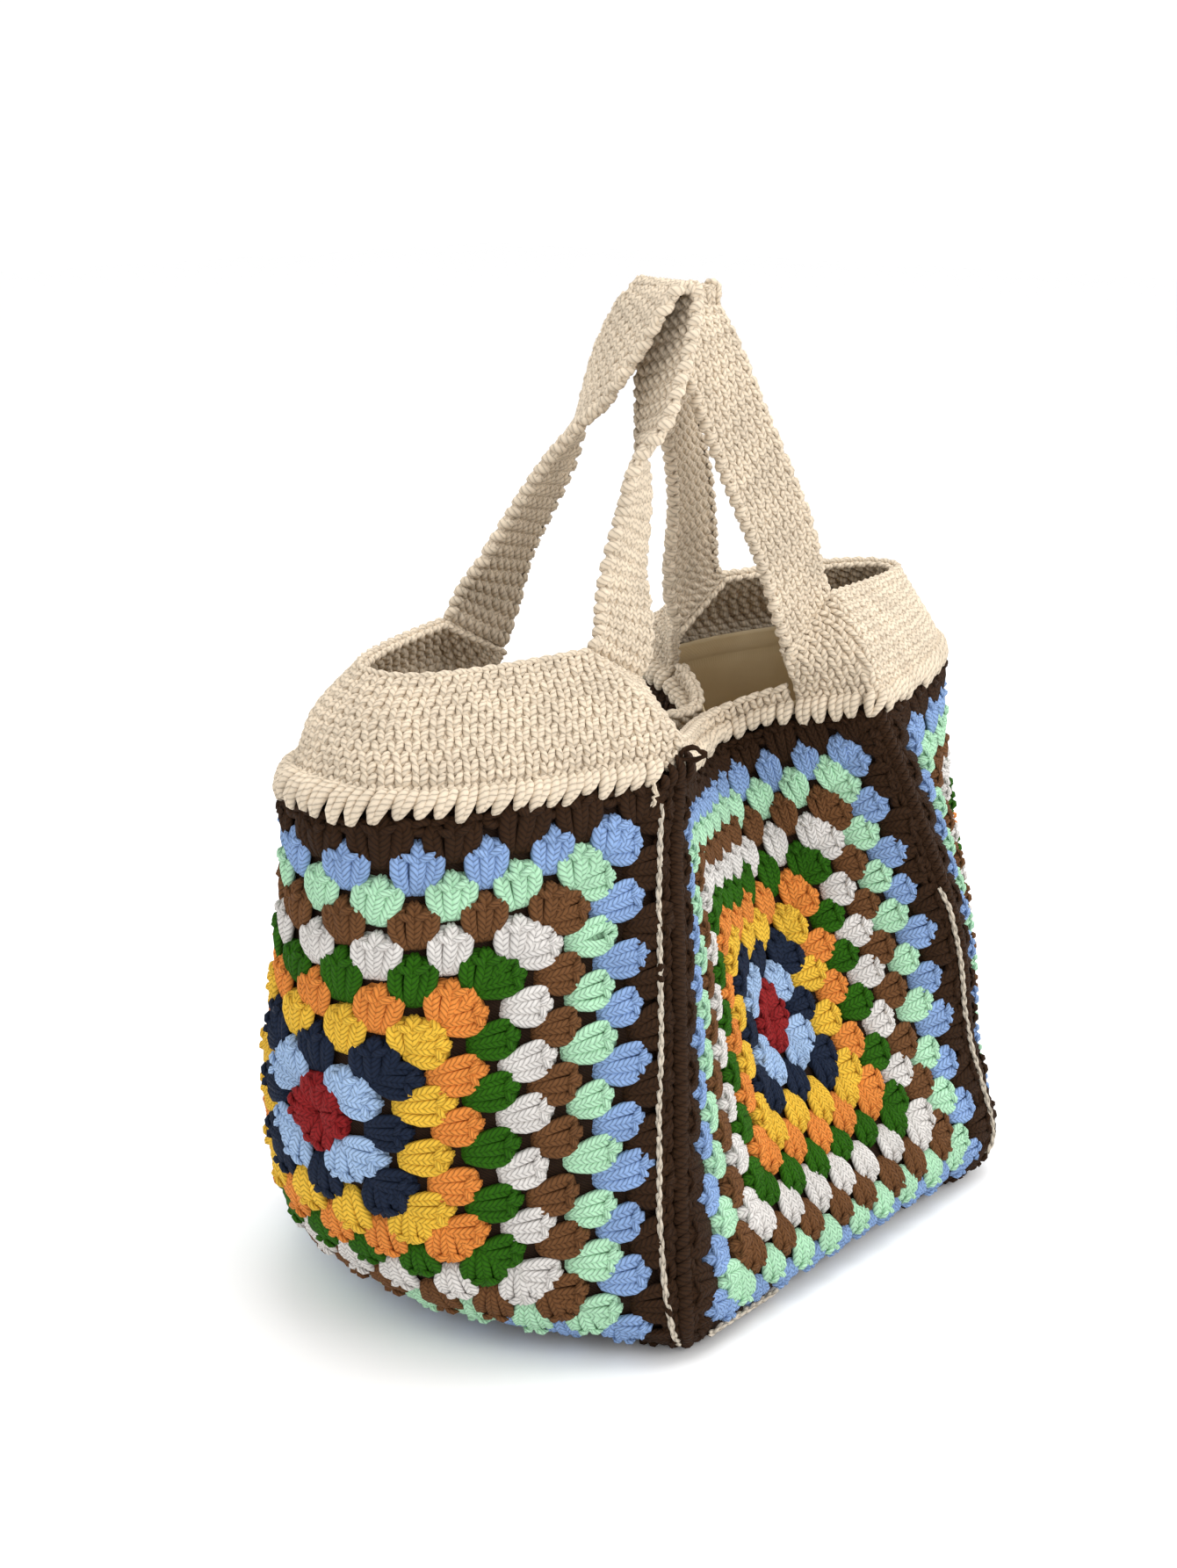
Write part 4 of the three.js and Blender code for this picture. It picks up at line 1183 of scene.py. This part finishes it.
def twisted_cord(path, up, lift, seed, bulk=0.9 * MM, swing=0.65 * MM):
    length = np.linalg.norm(np.diff(path, axis=0), axis=1).sum()
    count = max(int(length / CORD_STEP), 12)
    at = np.linspace(0, 1, count)
    centre, out = follow(path, at), follow(up, at)
    side = np.cross(np.gradient(centre, axis=0), out)
    side /= np.linalg.norm(side, axis=1, keepdims=True)
    wander = np.random.default_rng(seed).normal(0, WANDER, 12)
    drift = np.interp(at, np.linspace(0, 1, 12), wander)[:, None]
    parts = []
    for phase in (0, np.pi):
        angle = at * length / CHAIN_TURN * 2 * np.pi + phase
        around = side * np.cos(angle)[:, None] + out * np.sin(angle)[:, None]
        spine = centre + out * lift + around * swing + side * drift
        half = np.full(count, bulk)
        half[[0, -1]] = 0.3 * bulk
        parts.append(strands(spine[None], out[None], half, half, 6, 1, seed))
    return parts


def beside_edge(name, edge, start, stop, inset, bend):
    """A line beside an edge that swings out to the edge over the share bend at its foot."""
    path, up, _ = edge_path(name, edge, inset)
    seam, seam_up, _ = edge_path(name, edge, 1 * MM)
    spots = np.linspace(start, stop, PATH_STEPS)
    foot = spots if edge == "right" else 1 - spots
    swing = np.clip(1 - foot / bend, 0, 1)[:, None] ** 1.5
    return (follow(path, spots) * (1 - swing) + follow(seam, spots) * swing,
            follow(up, spots) * (1 - swing) + follow(seam_up, spots) * swing)


# square, edge, start and stop along it, inset from it, share that bends, lift over the cloth, seed
chains = []
for name, edge, start, stop, inset, bend, lift, seed in (
        ("front", "right", 0.02, 0.97, 9.5 * MM, 0.2, 4.6 * MM, 401),
        ("front", "left", 0.03, 0.98, 9.5 * MM, 0.2, 4.6 * MM, 402),
        ("right", "right", 0.04, 0.62, 1.5 * MM, 0.01, 3.9 * MM, 403),
        ("left", "left", 0.38, 0.96, 1.5 * MM, 0.01, 3.9 * MM, 404),
        ("right", "bottom", 0.02, 0.26, 16 * MM, 0.01, 6.5 * MM, 405)):
    path, up = beside_edge(name, edge, start, stop, inset, bend)
    chains += twisted_cord(path, up, lift, seed)
dress("cream_chains", chains, CHAIN_LOOK, "cream_yarn")

# %% [markdown]
# ## Brown corners, a loose end and a loop
#
# At both ends of the front collar the dark brown yarn climbs over the cream in long stitches, which are laid
# like the spikes. Handwork also leaves its traces: a short cream end hangs out at the rim, and a brown loop
# sticks out beside one brown corner. Each is a short twisted cord along a path of its own.

# %% Brown corners that climb over the ends of the front collar
front_hem = collar_hem("front")
front_facing = outward(front_hem)


def brown_corner(mirror):
    """Six long brown stitches side by side, the outer ones shorter."""
    x = 0.936 + 0.0115 * np.arange(6)[:, None] + np.zeros(6)
    x = 1 - x if mirror else x
    top = np.array([0.45, 0.7, 0.9, 1.0, 1.0, 0.85])[:, None]
    y = 0.1 + (top - 0.1) * np.linspace(0, 1, 6)
    out = blend_grid(front_facing, x, y)
    rise = np.array([2.5, 4.6, 5.4, 5.4, 4.4, 2.0]) * MM
    half = np.array([1.4, 2.2, 2.5, 2.4, 2.0, 0.9]) * MM
    spine = blend_grid(front_hem, x, y) + out * rise[:, None]
    return strands(spine, out, half, half * 0.8, 6, 1, 421 + mirror)


dress("brown_corners", [brown_corner(mirror) for mirror in (0, 1)], BROWN_LOOK, "square_yarn")

# %% The loose end and the loop
step = np.linspace(0, 1, 14)


def spot_on(grid, across, up):
    return blend_grid(grid, np.array([across]), np.array([up]))[0]


TAIL_SPOT = (0.945, 0.995)
TAIL_LIFT = 5 * MM
LOOP_SPOT = (0.975, 0.75)
root = spot_on(squares["front"], *TAIL_SPOT) + spot_on(facings["front"], *TAIL_SPOT) * TAIL_LIFT
tail_path = root + np.stack([4 * MM * np.sin(step * 2.2), -4 * MM * step, -11 * MM * step ** 1.4], -1)
tail = twisted_cord(tail_path, np.tile([0.6, -0.8, 0.0], (14, 1)), 0.0, 411, 0.7 * MM, 0.5 * MM)
dress("cream_tail", tail, CREAM_LOOK, "cream_yarn")
root = spot_on(front_hem, *LOOP_SPOT) + (4 * MM, -4 * MM, 3 * MM)
angle = step * 2 * np.pi
loop_path = root + np.stack([11 * MM * (1 - np.cos(angle)) / 2, 4 * MM * (1 - np.cos(angle)) / 2,
                             2 * MM * np.sin(angle / 2) + 2.6 * MM * np.sin(angle)], -1)
loop = twisted_cord(loop_path, np.tile([0.5, -0.6, 0.6], (14, 1)), 0.0, 413, 0.9 * MM, 0.5 * MM)
dress("brown_loop", loop, BROWN_LOOK, "square_yarn")


# %% [markdown]
# ## The lining
#
# A sack of beige satin hangs inside and keeps small things from poking through the stitches. It is sewn to
# the foot of the collar, and a folded hem shows there. The cloth is a little too big for the bag, so it
# ripples. A cloth simulation could find the ripples, but the bag holds the sack on all sides, and a few soft
# waves that grow away from the corners look much the same from above and are made at once.

# %% The sack as a closed ring of points, row by row
LINING = 1.2 * MM
SACK_STEPS = 40
SACK_LOW = 0.105
HEM_SEAM = 0.975


def ring_at(level):
    return np.concatenate([evenly(curve_of(level, side), SACK_STEPS + 1)[:-1] for side in SIDES])


def ring_outward(rings):
    across = np.roll(rings, -1, axis=1) - np.roll(rings, 1, axis=1)
    facing = np.cross(across, np.gradient(rings, axis=0))
    return facing / np.linalg.norm(facing, axis=-1, keepdims=True)


def toward_edging(share):
    """A level between the rim and the top of the edging."""
    def mix(low, high):
        return low * (1 - share) + high * share

    mixed = {key: mix(RIM[key], EDGING_TOP[key]) for key in RIM if key != "nose_y"}
    mixed["nose_y"] = {side: mix(RIM["nose_y"][side], EDGING_TOP["nose_y"][side]) for side in RIM["nose_y"]}
    return mixed


heights = np.concatenate([np.linspace(SACK_LOW, 0.95, 26), [0.962, HEM_SEAM, 0.979, 0.99, 1.0, 1.012, 1.022]])
rings = np.array([ring_at(level_at(t)) for t in heights[:-2]]
                 + [ring_at(toward_edging(share)) for share in (0.25, 0.45)])
round_place = np.arange(4 * SACK_STEPS)
near = np.minimum(round_place % SACK_STEPS, SACK_STEPS - round_place % SACK_STEPS)
rng = np.random.default_rng(77)
waves = np.zeros((len(heights), len(round_place)))
for number in (5, 8, 13, 19, 27):
    phase = rng.uniform(0, 2 * np.pi) + rng.uniform(-3, 3) * heights[:, None]
    waves += rng.uniform(0.4, 1.0) * np.sin(number * round_place[None] / len(round_place) * 2 * np.pi + phase)
loose = np.clip((1.0 - heights) / 0.25, 0, 1)[:, None] * np.clip(near / 5, 0, 1)[None]
depth = CLOTH / 2 + 2.2 * MM + (1.6 * MM + 0.9 * MM * waves).clip(0.2 * MM, None) * loose
depth += 3.6 * MM * np.exp(-(near / 4) ** 2)[None]
depth += 6.0 * MM * np.clip((0.2 - heights) / 0.1, 0, 1)[:, None]
stitched = np.exp(-((heights - HEM_SEAM) / 0.003) ** 2)[:, None]
depth += 0.9 * MM * (heights > 0.98)[:, None] - 0.5 * MM * stitched
walls = rings - ring_outward(rings) * depth[..., None]
floor_height = CLOTH + LINING
sole = ring_at(level_at(0)) * (0.89, 0.89, 0)
sole_rows = [sole * share + (0, 0, height) for share, height in
             ((0.002, floor_height), (0.3, floor_height), (0.6, floor_height), (0.86, floor_height),
              (0.95, floor_height + 2 * MM), (1.0, floor_height + 6 * MM))]
sack = np.concatenate([np.array(sole_rows), walls])
sack = np.concatenate([sack, sack[:, :1]], axis=1)
print("lining points:", sack.shape)

# %% [markdown]
# ## Satin
#
# Satin is smooth and catches the light in soft bands. Its threads are far too fine to model, so a wave
# texture raises them a little, and a large soft noise makes the tint paler and darker in patches. The same
# sheen that softens the yarn gives the cloth its bright edge.

# %% Satin and the finished lining
satin = bpy.data.materials.new("lining_satin")
satin.use_nodes = True
satin_nodes, satin_links = satin.node_tree.nodes, satin.node_tree.links
satin_shader = satin_nodes["Principled BSDF"]
satin_shader.inputs["Roughness"].default_value = 0.42
satin_shader.inputs["Specular IOR Level"].default_value = 0.45
satin_shader.inputs["Sheen Weight"].default_value = 0.25
spot = satin_nodes.new("ShaderNodeTexCoord")
tint_noise = satin_nodes.new("ShaderNodeTexNoise")
tint_noise.inputs["Scale"].default_value = 28
tint_noise.inputs["Detail"].default_value = 4
satin_links.new(spot.outputs["Object"], tint_noise.inputs["Vector"])
tint = satin_nodes.new("ShaderNodeValToRGB")
tint.color_ramp.elements[0].position = 0.3
tint.color_ramp.elements[0].color = (*from_screen(214, 190, 146), 1)
tint.color_ramp.elements[1].position = 0.75
tint.color_ramp.elements[1].color = (*from_screen(230, 210, 170), 1)
satin_links.new(tint_noise.outputs["Fac"], tint.inputs["Fac"])
satin_links.new(tint.outputs["Color"], satin_shader.inputs["Base Color"])
threads = satin_nodes.new("ShaderNodeTexWave")
threads.inputs["Scale"].default_value = 900
threads.inputs["Distortion"].default_value = 1.5
satin_links.new(spot.outputs["Object"], threads.inputs["Vector"])
raised = satin_nodes.new("ShaderNodeBump")
raised.inputs["Strength"].default_value = 0.12
raised.inputs["Distance"].default_value = 0.0003
satin_links.new(threads.outputs["Fac"], raised.inputs["Height"])
satin_links.new(raised.outputs["Normal"], satin_shader.inputs["Normal"])
made = dress("lining_sack", [closed_sheet(sack, 0.8 * MM)], satin, "lining_cloth", "lining")
wide = np.linalg.norm(np.diff(sack[-8], axis=0), axis=1).sum()
tall = np.linalg.norm(np.diff(sack[:, SACK_STEPS // 2], axis=0), axis=1).sum()
across = np.linalg.norm(np.diff((sack[:-1] + sack[1:]) / 2, axis=1), axis=-1)
climb = np.linalg.norm(np.diff(sack, axis=0), axis=-1)
cut_area = (across * (climb[:, :-1] + climb[:, 1:]) / 2).sum()
print("lining is cut to", round(wide, 3), "by", round(tall, 3), "m, area", round(cut_area, 3))
